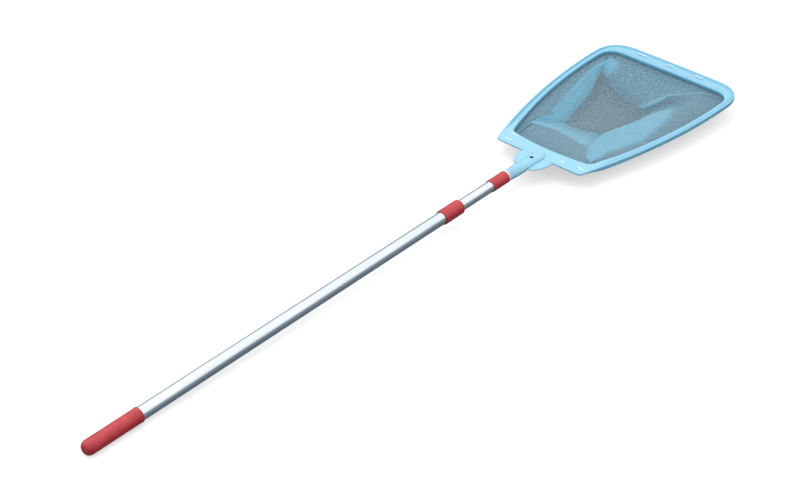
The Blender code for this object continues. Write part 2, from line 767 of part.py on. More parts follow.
def build_cam_plug(material, parent, centre):
    """Pressed into the inner tube's end, with an eccentric pin that stands out of it."""
    flange_end = INNER_TUBE_START - GAP
    spigot_end = flange_end + CAM_SPIGOT_LENGTH
    spigot_radius = INNER_TUBE_BORE - GAP
    profile = [
        (CAM_FLANGE_START, 0.0),
        (CAM_FLANGE_START, INNER_TUBE_RADIUS - GAP),
        (flange_end, INNER_TUBE_RADIUS - GAP),
        (flange_end, spigot_radius),
        (spigot_end, spigot_radius),
        (spigot_end, spigot_radius - PLUG_WALL),
        (flange_end + CAM_SPIGOT_FLOOR, spigot_radius - PLUG_WALL),
        (flange_end + CAM_SPIGOT_FLOOR, 0.0),
    ]
    cam_plug = turned("cam_plug", profile, material, parent, NYLON_SIDES)
    bm = bmesh.new()
    pin = rod(CAM_PIN_END, CAM_FLANGE_START + 0.003, CAM_PIN_RADIUS)
    add_turned(bm, pin, FITTING_SIDES, centre)
    combine(cam_plug, add_helper("cam_pin", bm, parent), "UNION")
    bm = bmesh.new()
    pilot = rod(CAM_PIN_END - CUT_MARGIN, CAM_PIN_END + CAM_PILOT_DEPTH, CAM_PILOT_RADIUS)
    add_turned(bm, pilot, SCREW_SIDES, centre)
    combine(cam_plug, add_helper("cam_pin_pilot", bm, parent), "DIFFERENCE")


def build_cam_ring(material, parent):
    """A nylon ring, split along its top, that the eccentric pin wedges against the outer tube."""
    start = CAM_PIN_END + GAP
    end = CAM_FLANGE_START - GAP
    profile = tube(start, end, OUTER_TUBE_BORE - GAP, CAM_RING_BORE)
    ring = turned("cam_ring", profile, material, parent, NYLON_SIDES)
    bm = bmesh.new()
    low = (start - CUT_MARGIN, -CAM_RING_SLOT / 2, 0.0)
    high = (end + CUT_MARGIN, CAM_RING_SLOT / 2, OUTER_TUBE_RADIUS)
    add_box(bm, low, high)
    combine(ring, add_helper("cam_ring_slot", bm, parent), "DIFFERENCE")


def build_cam_fixing(material, parent, centre):
    """The washer and screw that keep the ring on the pin."""
    washer_end = CAM_PIN_END - GAP
    washer_start = washer_end - CAM_WASHER_THICKNESS
    profile = tube(washer_start, washer_end, CAM_WASHER_RADIUS, CAM_PILOT_RADIUS)
    turned("cam_washer", profile, material, parent, FITTING_SIDES, centre)
    head_end = washer_start - GAP
    head_start = head_end - CAM_SCREW_HEAD_HEIGHT
    profile = [
        (head_start, 0.0),
        (head_start, CAM_SCREW_HEAD_RADIUS - 0.0010),
        (head_start + 0.0010, CAM_SCREW_HEAD_RADIUS),
        (head_end, CAM_SCREW_HEAD_RADIUS),
        (head_end, CAM_SCREW_RADIUS),
        (head_end + CAM_SCREW_LENGTH - 0.001, CAM_SCREW_RADIUS),
        (head_end + CAM_SCREW_LENGTH, 0.0),
    ]
    turned("cam_screw", profile, material, parent, SCREW_SIDES, centre)


def build_twist_lock(materials, ring_body, inner):
    centre = (0.0, 0.0, CAM_OFFSET)
    build_cam_plug(materials["white_nylon"], inner, centre)
    build_cam_ring(materials["white_nylon"], ring_body)
    build_cam_fixing(materials["steel"], inner, centre)


def place_on_floor(pole_frame):
    """Tips the pole's frame until grip and bag rest on the floor, and centres it over the origin."""
    length = (FRAME_FAR_X + FRAME_FAR_BOW) * math.cos(TILT)
    ends = (RAIL_SKIRT_DEPTH - GRIP_END_FLAT) * math.sin(TILT)
    half_length = (length + ends) / 2
    pole_frame.rotation_euler = (0.0, -TILT, 0.0)
    height = GRIP_RADIUS - GRIP_END_ROUND * math.sin(TILT)
    pole_frame.location = (-half_length, 0.0, height)


def main():
    clear_scene()
    materials = {
        "aluminium": make_material("aluminium", (0.80, 0.84, 0.87), 0.28, 1.0),
        "red_vinyl": make_material("red_vinyl", (0.52, 0.035, 0.05), 0.42),
        "blue_plastic": make_material("blue_plastic", (0.30, 0.62, 0.82), 0.25),
        "net_mesh": make_material("net_mesh", (0.12, 0.30, 0.42), 0.75),
        "white_nylon": make_material("white_nylon", (0.85, 0.85, 0.83), 0.40),
        "steel": make_material("steel", (0.55, 0.56, 0.58), 0.35, 1.0),
    }
    pole_frame = bpy.data.objects.new("pole_frame", None)
    bpy.context.scene.collection.objects.link(pole_frame)
    bodies = []
    for name in ("outer_pole", "lock_ring", "inner_pole"):
        body = bpy.data.objects.new(name, None)
        body.parent = pole_frame
        bpy.context.scene.collection.objects.link(body)
        bodies.append(body)
    outer, ring_body, inner = bodies

    build_outer_pole(materials, outer)
    build_inner_pole(materials, inner)
    build_twist_lock(materials, ring_body, inner)
    build_socket(materials["blue_plastic"], inner)
    build_hub_screw(materials["steel"], inner)

    rim = Rim()
    build_frame(rim, materials["blue_plastic"], inner)
    build_strips(rim, materials["blue_plastic"], inner)
    build_strip_screws(rim, materials["steel"], inner)
    build_hem(rim, materials["net_mesh"], inner)
    build_bag(rim, materials["net_mesh"], inner)
    place_on_floor(pole_frame)


main()
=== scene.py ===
"""Looks of a leaf skimmer net: a telescopic pole with a shallow, slack net bag in a plastic frame.

Shapes are made in the pole's own frame, in metres. X runs along the pole from the grip's closed
end, Y to the left and Z up, and the pole's axis is at Z = 0. POLE then places them in the frame.
"""

import json
import math

import bmesh
import bpy
from mathutils import Matrix, Vector
from mathutils.noise import noise as noise_at


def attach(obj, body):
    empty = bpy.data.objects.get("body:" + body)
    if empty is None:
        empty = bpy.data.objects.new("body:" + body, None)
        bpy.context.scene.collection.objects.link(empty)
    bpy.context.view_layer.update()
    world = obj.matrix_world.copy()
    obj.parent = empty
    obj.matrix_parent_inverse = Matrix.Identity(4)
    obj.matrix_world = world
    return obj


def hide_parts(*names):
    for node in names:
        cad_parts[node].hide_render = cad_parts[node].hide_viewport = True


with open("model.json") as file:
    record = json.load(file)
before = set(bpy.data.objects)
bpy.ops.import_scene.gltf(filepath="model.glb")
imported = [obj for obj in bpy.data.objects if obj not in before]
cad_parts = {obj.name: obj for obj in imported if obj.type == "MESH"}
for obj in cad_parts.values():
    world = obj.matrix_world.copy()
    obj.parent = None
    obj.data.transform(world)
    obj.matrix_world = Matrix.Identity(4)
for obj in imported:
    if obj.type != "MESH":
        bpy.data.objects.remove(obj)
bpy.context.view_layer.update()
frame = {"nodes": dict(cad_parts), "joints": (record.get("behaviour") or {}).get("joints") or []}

# Distances along the pole, and radii, as in the CAD
TWIST_LOCK_X = 1.0
TUBE_SIDES = 96
OUTER_RADIUS = 0.0140
INNER_RADIUS = 0.0125
TUBE_WALL = 0.0008
OUTER_TUBE = (0.012, 1.040)
INNER_TUBE = (0.175, 1.202)
GRIP_RADIUS = 0.0155
GRIP_END = 0.134
GRIP_ROUND = 0.0125
GRIP_FLAT = 0.0060
GRIP_FLOOR = 0.0090
GRIP_LIP = (0.0045, 0.0038)
GRIP_LIP_HEIGHT = 0.0005
LOCK_COLLAR = (0.990, 1.048)
LOCK_COLLAR_RADIUS = 0.0165
LOCK_COLLAR_BEAD = 0.0005
LOCK_COLLAR_TAPER = 0.004
PARTING_LINE_TURN = 157.5
PARTING_LINE_HEIGHT = 0.0003
HEAD_COLLAR = (1.151, 1.202)
HEAD_COLLAR_RADIUS = 0.0140
SOCKET_SHOULDER = 1.207
GAP = 0.0003

# The socket's tongue
NECK_RADIUS = 0.01325
TONGUE_HALF_WIDTH = 0.0155
TONGUE_FLARED = 1.245
TONGUE_FLAT_START = 1.261
TONGUE_END = 1.333
TONGUE_END_HEIGHT = 0.0042
TONGUE_EDGE = 0.0014
SCREW_HOLE_X = 1.294
SCREW_HOLE_RADIUS = 0.00325
SCREW_SEAT = 0.0028
COUNTERSINK = (0.0045, 0.0064)
COUNTERSINK_RADIUS = 0.0046
SHANK_HOLE_RADIUS = 0.0016
BELOW_TONGUE = -0.001
ABOVE_TONGUE = 0.02
HUB_SHANK_RADIUS = 0.0012
HUB_HEAD_RADIUS = 0.0028
HUB_HEAD_HEIGHT = 0.0020
HUB_RECESS_DEPTH = 0.0012
HUB_POINT = -0.0085

# The net frame: near right, far right, far left and near left corners before rounding
FRAME_CORNERS = ((1.315, -0.1155), (1.851, -0.188), (1.851, 0.188), (1.315, 0.1155))
FRAME_BOWS = (0.025, 0.003, 0.025, 0.0)
FRAME_TRIMS = (0.009, 0.070, 0.070, 0.009)
MOUTH_CORNERS = ((1.364, -0.108), (1.814, -0.172), (1.814, 0.172), (1.364, 0.108))
MOUTH_BOWS = (0.021, 0.002, 0.021, 0.010)
MOUTH_TRIMS = (0.013, 0.040, 0.040, 0.013)
EDGE_SAMPLES = (60, 48, 60, 40)
CORNER_SAMPLES = (18, 18, 10, 10)
FLANGE_THICKNESS = 0.0025
WALL_THICKNESS = 0.0024
DISH_DEPTH = 0.0026
INNER_WALL_DEPTH = 0.0090
NEAR_SKIRT_DEPTH = 0.0040
RAIL_SKIRT_DEPTH = 0.0100
GUSSET_START = 1.2616
GUSSET_HALF_WIDTH = 0.043
KEEL_END = 1.338
KEEL_RADII = (0.0130, 0.0060)

# Where, along the pole, the rim's skirt deepens, its dish begins and its far lip begins
SKIRT_DEEPENS = (1.325, 1.385)
DISH_BEGINS = (1.345, 1.400)
FAR_LIP_BEGINS = (1.800, 1.840)

# Pads: X, Y, turn in radians and half length
PAD_HALF_WIDTH = 0.0018
PLACES_OF_PADS = (
    (1.3290, 0.0930, 0.0, 0.0105),
    (1.3545, 0.0960, 0.0, 0.0105),
    (1.3330, -0.0560, 0.0, 0.0060),
    (1.3370, -0.1010, -0.3, 0.0110),
    (1.8360, 0.0900, 0.0, 0.0140),
    (1.8370, 0.0100, 0.0, 0.0090),
    (1.8365, -0.0700, 0.0, 0.0120),
)

# The bag
BAG_TOP = -0.0100
BAG_LIFT = 0.0006
BAG_THICKNESS = 0.0005
BAG_EDGE_OUTWARD = 0.0066
BAG_LIP_OUTWARD = 0.0005
WEAVE_PITCH = 0.0020

# Painted shade of the bag's folds: dark lines beside the hips, and stripes in the pocket
CREASE_AT = 0.80
CREASE_WIDTH = 0.06
STRIPE_PITCH = 0.0042

# Heights of the wrinkles in the slack cloth, and how many pleats fan out
PLEAT_HEIGHT = 0.0017
RUMPLE_HEIGHT = 0.0012
FINE_HEIGHT = 0.0003
PLEATS_AROUND = 7.5

# The hem tape: from and to, outward from the mouth, and its lower and upper face
HEM_OUTWARD = (0.0026, 0.0067)
HEM_FACES = (-0.0089, -0.0079)

# The camera in the pole's frame, and the studio
CAMERA_PLACE = (-1.679, -2.226, 2.342)
CAMERA_FORWARD = (0.6162, 0.5413, -0.5721)
CAMERA_LENS = 90.2
FLOOR_HALF_SIZE = 12.0
FLOOR_DROP = 0.0005

# Lamps: name, place, size and power
LAMPS = (
    ("top", (-0.3, 0.6, 3.4), 2.0, 14.0),
    ("key", (-1.4, 2.4, 2.2), 1.0, 12.0),
)


def pole_matrix():
    """The pole's frame in the row frame, from the twist lock's place and axis."""
    lock = next(joint for joint in frame["joints"] if joint["name"] == "twist_lock")
    along = Vector(lock["axis"]).normalized()
    left = Vector((0.0, 1.0, 0.0))
    up = along.cross(left)
    origin = Vector(lock["pos_m"]) - along * TWIST_LOCK_X
    matrix = Matrix((along, left, up)).transposed().to_4x4()
    matrix.translation = origin
    return matrix


POLE = pole_matrix()


# ---------------------------------------------------------------- helpers


def smooth_step(value, low, high):
    share = min(max((value - low) / (high - low), 0.0), 1.0)
    return share * share * (3 - 2 * share)


def add_piece(name, bm, material, body, slot, *nodes):
    """A smooth-shaded piece in the pole's frame. It stands for the CAD nodes given."""
    bmesh.ops.recalc_face_normals(bm, faces=bm.faces)
    mesh = bpy.data.meshes.new(name)
    bm.to_mesh(mesh)
    bm.free()
    mesh.transform(POLE)
    mesh.shade_smooth()
    mesh.materials.append(material)
    piece = bpy.data.objects.new(name, mesh)
    bpy.context.scene.collection.objects.link(piece)
    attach(piece, body)
    if nodes:
        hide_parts(*nodes)
    return piece


def add_turned(bm, profile, centre=(0.0, 0.0, 0.0), axis="X", sides=TUBE_SIDES):
    """Revolves a closed loop of (distance along, radius) about an axis, with UVs in metres."""
    uv = bm.loops.layers.uv.verify()
    rings = []
    for along, radius in profile:
        ring = []
        for step in range(sides if radius else 1):
            angle = 2 * math.pi * step / sides
            across = (radius * math.cos(angle), radius * math.sin(angle))
            offset = (along, *across) if axis == "X" else (*across, along)
            ring.append(bm.verts.new(Vector(centre) + Vector(offset)))
        rings.append(ring)
    for index in range(len(profile)):
        following = (index + 1) % len(profile)
        here, there = rings[index], rings[following]
        if len(here) == 1 and len(there) == 1:
            continue
        radius = max(profile[index][1], profile[following][1])
        for step in range(sides):
            steps = (step, step + 1, step + 1, step)
            picked = (here, here, there, there)
            corners = [ring[at % len(ring)] for ring, at in zip(picked, steps)]
            places = (index, index, following, following)
            wanted = {}
            for corner, at, place in zip(corners, steps, places):
                wanted.setdefault(corner, (2 * math.pi * radius * at / sides, profile[place][0]))
            if len(wanted) < 3:
                continue
            face = bm.faces.new(list(wanted))
            for loop in face.loops:
                loop[uv].uv = wanted[loop.vert]


def turned(name, profile, material, body, slot, *nodes, **options):
    bm = bmesh.new()
    add_turned(bm, profile, **options)
    return add_piece(name, bm, material, body, slot, *nodes)


def rounded(profile, radii, steps=4):
    """A closed (x, r) loop whose corners are rounded by the radii given, 0 for a sharp corner."""
    points = []
    count = len(profile)
    for index, radius in enumerate(radii):
        corner = Vector(profile[index])
        if radius == 0.0:
            points.append(tuple(corner))
            continue
        before = (Vector(profile[index - 1]) - corner).normalized() * radius
        after = (Vector(profile[(index + 1) % count]) - corner).normalized() * radius
        for step in range(steps + 1):
            share = step / steps
            bend = before * (1 - share) ** 2 + after * share**2
            points.append(tuple(corner + bend))
    return points


def sleeve(start, end, radius, bore, outer_round=0.0007, inner_round=0.0003):
    loop = ((start, bore), (start, radius), (end, radius), (end, bore))
    return rounded(loop, (inner_round, outer_round, outer_round, inner_round))


def sharpen(piece, degrees=35):
    """Keeps edges steeper than an angle crisp under smooth shading."""
    bm = bmesh.new()
    bm.from_mesh(piece.data)
    limit = math.radians(degrees)
    for edge in bm.edges:
        edge.smooth = len(edge.link_faces) == 2 and edge.calc_face_angle(0.0) < limit
    bm.to_mesh(piece.data)
    bm.free()


def add_loft(bm, rings, closed):
    """Joins rings of points with quads. A closed loft ends where it began; an open one is capped."""
    made = [[bm.verts.new(point) for point in ring] for ring in rings]
    pairs = list(zip(made, made[1:]))
    if closed:
        pairs.append((made[-1], made[0]))
    for ring, following in pairs:
        for step in range(len(ring)):
            after = (step + 1) % len(ring)
            bm.faces.new((ring[step], ring[after], following[after], following[step]))
    if not closed:
        bm.faces.new(made[0])
        bm.faces.new(made[-1])


# ---------------------------------------------------------------- outlines


def bowed_point(start, end, bow, share):
    """The point at a share of a shallow arc whose middle stands bow off its chord, to the right."""
    along = end - start
    right = Vector((along.y, -along.x)).normalized()
    return start + along * share + right * bow * 4 * share * (1 - share)


def rounded_outline(corners, bows, trims):
    """A four-cornered outline, anticlockwise, of bowed edges whose corners are rounded."""
    corners = [Vector(corner) for corner in corners]
    points = []
    for side in range(4):
        start, end, following = (corners[(side + step) % 4] for step in range(3))
        length = (end - start).length
        first = trims[side] / length
        last = 1 - trims[(side + 1) % 4] / length
        for step in range(EDGE_SAMPLES[side] + 1):
            share = first + (last - first) * step / EDGE_SAMPLES[side]
            points.append(bowed_point(start, end, bows[side], share))
        edge_end = points[-1]
        next_share = trims[(side + 1) % 4] / (following - end).length
        next_start = bowed_point(end, following, bows[(side + 1) % 4], next_share)
        for step in range(1, CORNER_SAMPLES[side]):
            share = step / CORNER_SAMPLES[side]
            bend = edge_end * (1 - share) ** 2 + end * 2 * share * (1 - share)
            points.append(bend + next_start * share**2)
    return points


def outward_normals(outline):
    normals = []
    for index in range(len(outline)):
        along = outline[(index + 1) % len(outline)] - outline[index - 1]
        normals.append(Vector((along.y, -along.x)).normalized())
    return normals


OUTSIDE = rounded_outline(FRAME_CORNERS, FRAME_BOWS, FRAME_TRIMS)
MOUTH = rounded_outline(MOUTH_CORNERS, MOUTH_BOWS, MOUTH_TRIMS)
OUTSIDE_NORMALS = outward_normals(OUTSIDE)
MOUTH_NORMALS = outward_normals(MOUTH)


def mouth_point(index, outward, z):
    place = MOUTH[index] + MOUTH_NORMALS[index] * outward
    return Vector((place.x, place.y, z))


def outside_point(index, inward, z):
    place = OUTSIDE[index] - OUTSIDE_NORMALS[index] * inward
    return Vector((place.x, place.y, z))


# ---------------------------------------------------------------- materials


def new_material(name, **values):
    material = bpy.data.materials.new(name)
    material.use_nodes = True
    tree = material.node_tree
    shader = tree.nodes["Principled BSDF"]
    for socket, value in values.items():
        shader.inputs[socket.replace("_", " ")].default_value = value
    return material, tree, shader


def node(tree, kind, **inputs):
    """A node of that kind. set_NAME sets a property, i0 its first input, and the rest are input names."""
    made = tree.nodes.new(kind)
    for name, value in inputs.items():
        if name.startswith("set_"):
            setattr(made, name[4:], value)
            continue
        numbered = name[0] == "i" and name[1:].isdigit()
        socket = made.inputs[int(name[1:]) if numbered else name]
        if isinstance(value, bpy.types.NodeSocket):
            tree.links.new(value, socket)
        else:
            socket.default_value = value
    return made


def mixed(tree, factor, first, second):
    """A colour between two, by a factor."""
    mix = node(tree, "ShaderNodeMix", set_data_type="RGBA")
    for index, value in ((0, factor), (6, first), (7, second)):
        if isinstance(value, bpy.types.NodeSocket):
            tree.links.new(value, mix.inputs[index])
        elif index:
            mix.inputs[index].default_value = (*value, 1.0)
        else:
            mix.inputs[index].default_value = value
    return mix.outputs[2]


def ranged(tree, value, low, high, to_low, to_high):
    made = node(tree, "ShaderNodeMapRange", Value=value)
    for name, number in (("From Min", low), ("From Max", high), ("To Min", to_low), ("To Max", to_high)):
        made.inputs[name].default_value = number
    return made.outputs["Result"]


def maths(tree, operation, first, second=0.0):
    return node(tree, "ShaderNodeMath", set_operation=operation, i0=first, i1=second).outputs[0]


def noise(tree, vector, scale, detail=3.0, roughness=0.5):
    made = node(tree, "ShaderNodeTexNoise", Vector=vector, Scale=scale, Detail=detail, Roughness=roughness)
    return made.outputs["Fac"]


def object_coordinates(tree, scale=(1.0, 1.0, 1.0)):
    coordinates = node(tree, "ShaderNodeTexCoord")
    mapping = node(tree, "ShaderNodeMapping", Vector=coordinates.outputs["Object"], Scale=scale)
    return mapping.outputs["Vector"]


def uv_coordinates(tree, scale=(1.0, 1.0, 1.0)):
    coordinates = node(tree, "ShaderNodeUVMap")
    mapping = node(tree, "ShaderNodeMapping", Vector=coordinates.outputs["UV"], Scale=scale)
    return mapping.outputs["Vector"]


def attribute(tree, name):
    return node(tree, "ShaderNodeAttribute", set_attribute_name=name).outputs["Fac"]


def bump(tree, shader, height, distance, strength=1.0):
    made = node(tree, "ShaderNodeBump", Height=height, Distance=distance, Strength=strength)
    tree.links.new(made.outputs["Normal"], shader.inputs["Normal"])


def moulded_plastic():
    """Pale blue polypropylene: a fine orange peel, flow marks and scuffs, with painted shade in the
    moulding's hollows.
    """
    material, tree, shader = new_material("moulded_blue_plastic", Roughness=0.24, IOR=1.49)
    place = object_coordinates(tree)
    cloudy = noise(tree, place, 9.0, 4.0)
    base = mixed(tree, cloudy, (0.265, 0.565, 0.735), (0.315, 0.625, 0.790))
    grain = noise(tree, place, 900.0, 2.0)
    speckled = mixed(tree, ranged(tree, grain, 0.35, 0.75, 0.0, 0.16), base, (0.215, 0.500, 0.680))
    # Painted shade: the dish, inner wall, underside and skirt are darkened toward a deeper blue.
    painted_shade = maths(tree, "MULTIPLY", attribute(tree, "recess"), 0.85)
    tree.links.new(mixed(tree, painted_shade, speckled, (0.080, 0.350, 0.560)), shader.inputs["Base Color"])
    scuffs = noise(tree, object_coordinates(tree, (14.0, 160.0, 60.0)), 5.0, 5.0, 0.65)
    tree.links.new(ranged(tree, scuffs, 0.40, 0.72, 0.22, 0.42), shader.inputs["Roughness"])
    bump(tree, shader, noise(tree, place, 420.0, 3.0), 0.00012, 0.5)
    return material


def painted_glint_pads():
    """The small pads' tops: a glossy finish, painted pale as glints of light."""
    material, tree, shader = new_material("pads_painted_glint", Roughness=0.12, IOR=1.49)
    cloudy = noise(tree, object_coordinates(tree), 300.0, 3.0)
    base = mixed(tree, cloudy, (0.52, 0.78, 0.89), (0.74, 0.89, 0.95))
    tree.links.new(base, shader.inputs["Base Color"])
    return material


def red_vinyl():
    """Soft red sleeve: a leathery grain, a little grime and paler rubbed patches."""
    material, tree, shader = new_material("red_vinyl_sleeve", Roughness=0.42, IOR=1.5)
    place = object_coordinates(tree)
    rubbed = noise(tree, place, 38.0, 4.0, 0.6)
    worn = ranged(tree, rubbed, 0.3, 0.75, 0.0, 1.0)
    base = mixed(tree, worn, (0.420, 0.020, 0.030), (0.560, 0.048, 0.060))
    tree.links.new(base, shader.inputs["Base Color"])
    pebbles = node(tree, "ShaderNodeTexVoronoi", Vector=place, Scale=1300.0).outputs["Distance"]
    tree.links.new(ranged(tree, rubbed, 0.3, 0.8, 0.28, 0.44), shader.inputs["Roughness"])
    bump(tree, shader, pebbles, 0.00012, 0.6)
    return material


def anodised_aluminium():
    """Drawn tube: fine lines along its length and slow changes of polish."""
    material, tree, shader = new_material("drawn_aluminium", Metallic=1.0, Roughness=0.3)
    lines = noise(tree, uv_coordinates(tree, (2600.0, 3.0, 1.0)), 1.0, 3.0, 0.6)
    slow = noise(tree, uv_coordinates(tree, (30.0, 4.0, 1.0)), 1.0, 3.0)
    streak = maths(tree, "MULTIPLY", lines, slow)
    tree.links.new(
        mixed(tree, ranged(tree, streak, 0.12, 0.42, 0.0, 1.0), (0.66, 0.74, 0.80), (0.84, 0.88, 0.91)),
        shader.inputs["Base Color"],
    )
    tree.links.new(ranged(tree, lines, 0.3, 0.7, 0.22, 0.36), shader.inputs["Roughness"])
    bump(tree, shader, lines, 0.00003, 0.35)
    return material


def white_nylon():
    material, tree, shader = new_material("white_nylon_moulding", Roughness=0.42, IOR=1.53)
    place = object_coordinates(tree)
    cloudy = noise(tree, place, 60.0, 3.0)
    tree.links.new(mixed(tree, cloudy, (0.78, 0.79, 0.79), (0.88, 0.88, 0.86)), shader.inputs["Base Color"])
    bump(tree, shader, noise(tree, place, 900.0, 2.0), 0.00006, 0.5)
    return material


def plated_steel():
    material, tree, shader = new_material("plated_steel", Metallic=1.0, Roughness=0.35)
    place = object_coordinates(tree)
    wear = noise(tree, place, 420.0, 4.0, 0.6)
    tree.links.new(mixed(tree, wear, (0.32, 0.33, 0.35), (0.62, 0.63, 0.65)), shader.inputs["Base Color"])
    tree.links.new(ranged(tree, wear, 0.3, 0.7, 0.25, 0.5), shader.inputs["Roughness"])
    return material


def painted_hole_shade():
    # Painted shade: near black, for the screw hole's walls and the screw head at its bottom, as if no light
    # reached them.
    material, tree, shader = new_material("hole_painted_shade", Roughness=0.8)
    place = object_coordinates(tree)
    tree.links.new(
        mixed(tree, noise(tree, place, 500.0), (0.001, 0.001, 0.002), (0.006, 0.008, 0.010)),
        shader.inputs["Base Color"],
    )
    return material


def hem_tape():
    """Woven tape round the bag's edge."""
    material, tree, shader = new_material("hem_tape_weave", Roughness=0.8, Sheen_Weight=0.2)
    place = uv_coordinates(tree)
    checks = node(tree, "ShaderNodeTexChecker", Vector=place, Scale=1400.0).outputs["Fac"]
    tree.links.new(mixed(tree, checks, (0.10, 0.27, 0.38), (0.16, 0.36, 0.48)), shader.inputs["Base Color"])
    bump(tree, shader, checks, 0.0001, 0.6)
    return material


def woven(tree):
    """How near a point is to a thread of the mesh, 0 in the middle of a hole and 1 on a thread."""
    scaled = uv_coordinates(tree, (1 / WEAVE_PITCH, 1 / WEAVE_PITCH, 1.0))
    parts = node(tree, "ShaderNodeSeparateXYZ", Vector=scaled)
    wander = noise(tree, uv_coordinates(tree, (60.0, 60.0, 1.0)), 1.0, 2.0)
    wobble = maths(tree, "MULTIPLY", wander, 2.4)
    threads = []
    for axis in ("X", "Y"):
        wave = maths(tree, "PINGPONG", maths(tree, "ADD", parts.outputs[axis], wobble), 0.5)
        threads.append(maths(tree, "MULTIPLY", wave, 2.0))
    return maths(tree, "MAXIMUM", *threads)


def hatched(tree):
    """Stripes across the pocket beside the far right fold, which break up its painted shade."""
    parts = node(tree, "ShaderNodeSeparateXYZ", Vector=uv_coordinates(tree))
    slanted = maths(tree, "ADD", parts.outputs["X"], maths(tree, "MULTIPLY", parts.outputs["Y"], 0.5))
    return maths(tree, "PINGPONG", maths(tree, "DIVIDE", slanted, STRIPE_PITCH), 1.0)


def net_mesh():
    """Open knitted mesh: crossing threads with holes between, paler where the cloth lies double, which is
    painted light; the bag's floor, creases and pocket get painted shade.
    """
    material, tree, shader = new_material("net_mesh_weave", Roughness=0.62, Sheen_Weight=0.35)
    thread = woven(tree)
    ragged = noise(tree, uv_coordinates(tree, (90.0, 90.0, 1.0)), 1.0, 3.0, 0.6)
    edged = maths(tree, "ADD", attribute(tree, "doubled_and_lit"), ranged(tree, ragged, 0.3, 0.7, -0.05, 0.05))
    fold = ranged(tree, edged, 0.34, 0.58, 0.0, 1.0)
    speckle = noise(tree, uv_coordinates(tree, (265.0, 265.0, 1.0)), 1.0, 4.0, 0.85)
    spots = ranged(tree, speckle, 0.41, 0.59, 0.0, 1.0)
    single = mixed(tree, spots, (0.022, 0.110, 0.180), (0.195, 0.400, 0.505))
    # Painted shade: the bag's floor is greyer and darker, standing for the shaded ground seen through it.
    floor = mixed(tree, spots, (0.025, 0.080, 0.118), (0.200, 0.335, 0.390))
    # Painted light: the folds where the cloth lies double are a paler blue, as if their raised ridges were
    # lit; their fuller cover is the real double cloth.
    double = mixed(tree, spots, (0.085, 0.300, 0.435), (0.165, 0.440, 0.580))
    cloth = mixed(tree, fold, mixed(tree, attribute(tree, "shade"), single, floor), double)
    shaded = maths(tree, "MULTIPLY", attribute(tree, "shadow"), 0.75)
    cloth = mixed(tree, shaded, cloth, (0.030, 0.085, 0.130))
    bare = maths(tree, "MULTIPLY", maths(tree, "SUBTRACT", 1.0, fold), 0.8)
    lifted = maths(tree, "SUBTRACT", 1.0, attribute(tree, "shade"))
    # Painted shade: thin dark lines beside the hips, where the cloth lies single and off the floor.
    beside = maths(tree, "COMPARE", attribute(tree, "hip"), CREASE_AT)
    beside.node.inputs[2].default_value = CREASE_WIDTH
    crease = maths(tree, "MULTIPLY", maths(tree, "MULTIPLY", beside, bare), lifted)
    cloth = mixed(tree, crease, cloth, (0.020, 0.095, 0.160))
    # Painted shade in the pocket beside the far right fold, in stripes across it.
    shade_stripes = ranged(tree, hatched(tree), 0.2, 0.8, 0.25, 0.95)
    painted_shade = maths(tree, "MULTIPLY", attribute(tree, "pocket"), shade_stripes)
    cloth = mixed(tree, painted_shade, cloth, (0.012, 0.060, 0.095))
    tree.links.new(cloth, shader.inputs["Base Color"])
    solid = ranged(tree, fold, 0.0, 1.0, 0.66, 0.97)
    cover = maths(tree, "MAXIMUM", ranged(tree, thread, 0.50, 0.62, 0.0, 1.0), solid)
    tree.links.new(cover, shader.inputs["Alpha"])
    bump(tree, shader, thread, 0.0003, 0.8)
    return material


VINYL = red_vinyl()
ALUMINIUM = anodised_aluminium()
PLASTIC = moulded_plastic()
GLINT_PAINT = painted_glint_pads()
NYLON = white_nylon()
STEEL = plated_steel()
HOLE_SHADE = painted_hole_shade()
TAPE = hem_tape()
MESH = net_mesh()


# ---------------------------------------------------------------- the pole


def build_grip():
    profile = [(0.0, 0.0), (0.0, GRIP_FLAT)]
    for step in range(1, 15):
        angle = math.pi / 2 * step / 14
        along = GRIP_ROUND * (1 - math.cos(angle))
        profile.append((along, GRIP_FLAT + (GRIP_RADIUS - GRIP_FLAT) * math.sin(angle)))
    lip = rounded(
        (
            (GRIP_END - GRIP_LIP[0], GRIP_RADIUS),
            (GRIP_END - GRIP_LIP[1], GRIP_RADIUS + GRIP_LIP_HEIGHT),
            (GRIP_END, GRIP_RADIUS + GRIP_LIP_HEIGHT),
            (GRIP_END, OUTER_RADIUS + GAP),
        ),
        (0.0, 0.0003, 0.0012, 0.0003),
    )
    profile += lip
    profile += [(GRIP_FLOOR, OUTER_RADIUS + GAP), (GRIP_FLOOR, 0.0)]
    turned("grip_sleeve", profile, VINYL, "outer_pole", "red_vinyl", "grip")


def build_tubes():
    loop = sleeve(*OUTER_TUBE, OUTER_RADIUS, OUTER_RADIUS - TUBE_WALL, 0.0003, 0.0002)
    sharpen(turned("outer_tube_drawn", loop, ALUMINIUM, "outer_pole", "aluminium", "outer_tube"))
    loop = sleeve(*INNER_TUBE, INNER_RADIUS, INNER_RADIUS - TUBE_WALL, 0.0003, 0.0002)
    sharpen(turned("inner_tube_drawn", loop, ALUMINIUM, "inner_pole", "aluminium", "inner_tube"))


def raise_parting_line(collar):
    """A fine lengthwise ridge on the lock collar, where its mould closed."""
    inverse = POLE.inverted()
    for vert in collar.data.vertices:
        place = inverse @ vert.co
        turn = math.atan2(place.z, place.y) - math.radians(PARTING_LINE_TURN)
        if abs(turn) < math.pi / TUBE_SIDES and place.yz.length > OUTER_RADIUS + 0.001:
            place.yz *= 1 + PARTING_LINE_HEIGHT / LOCK_COLLAR_RADIUS
            vert.co = POLE @ place


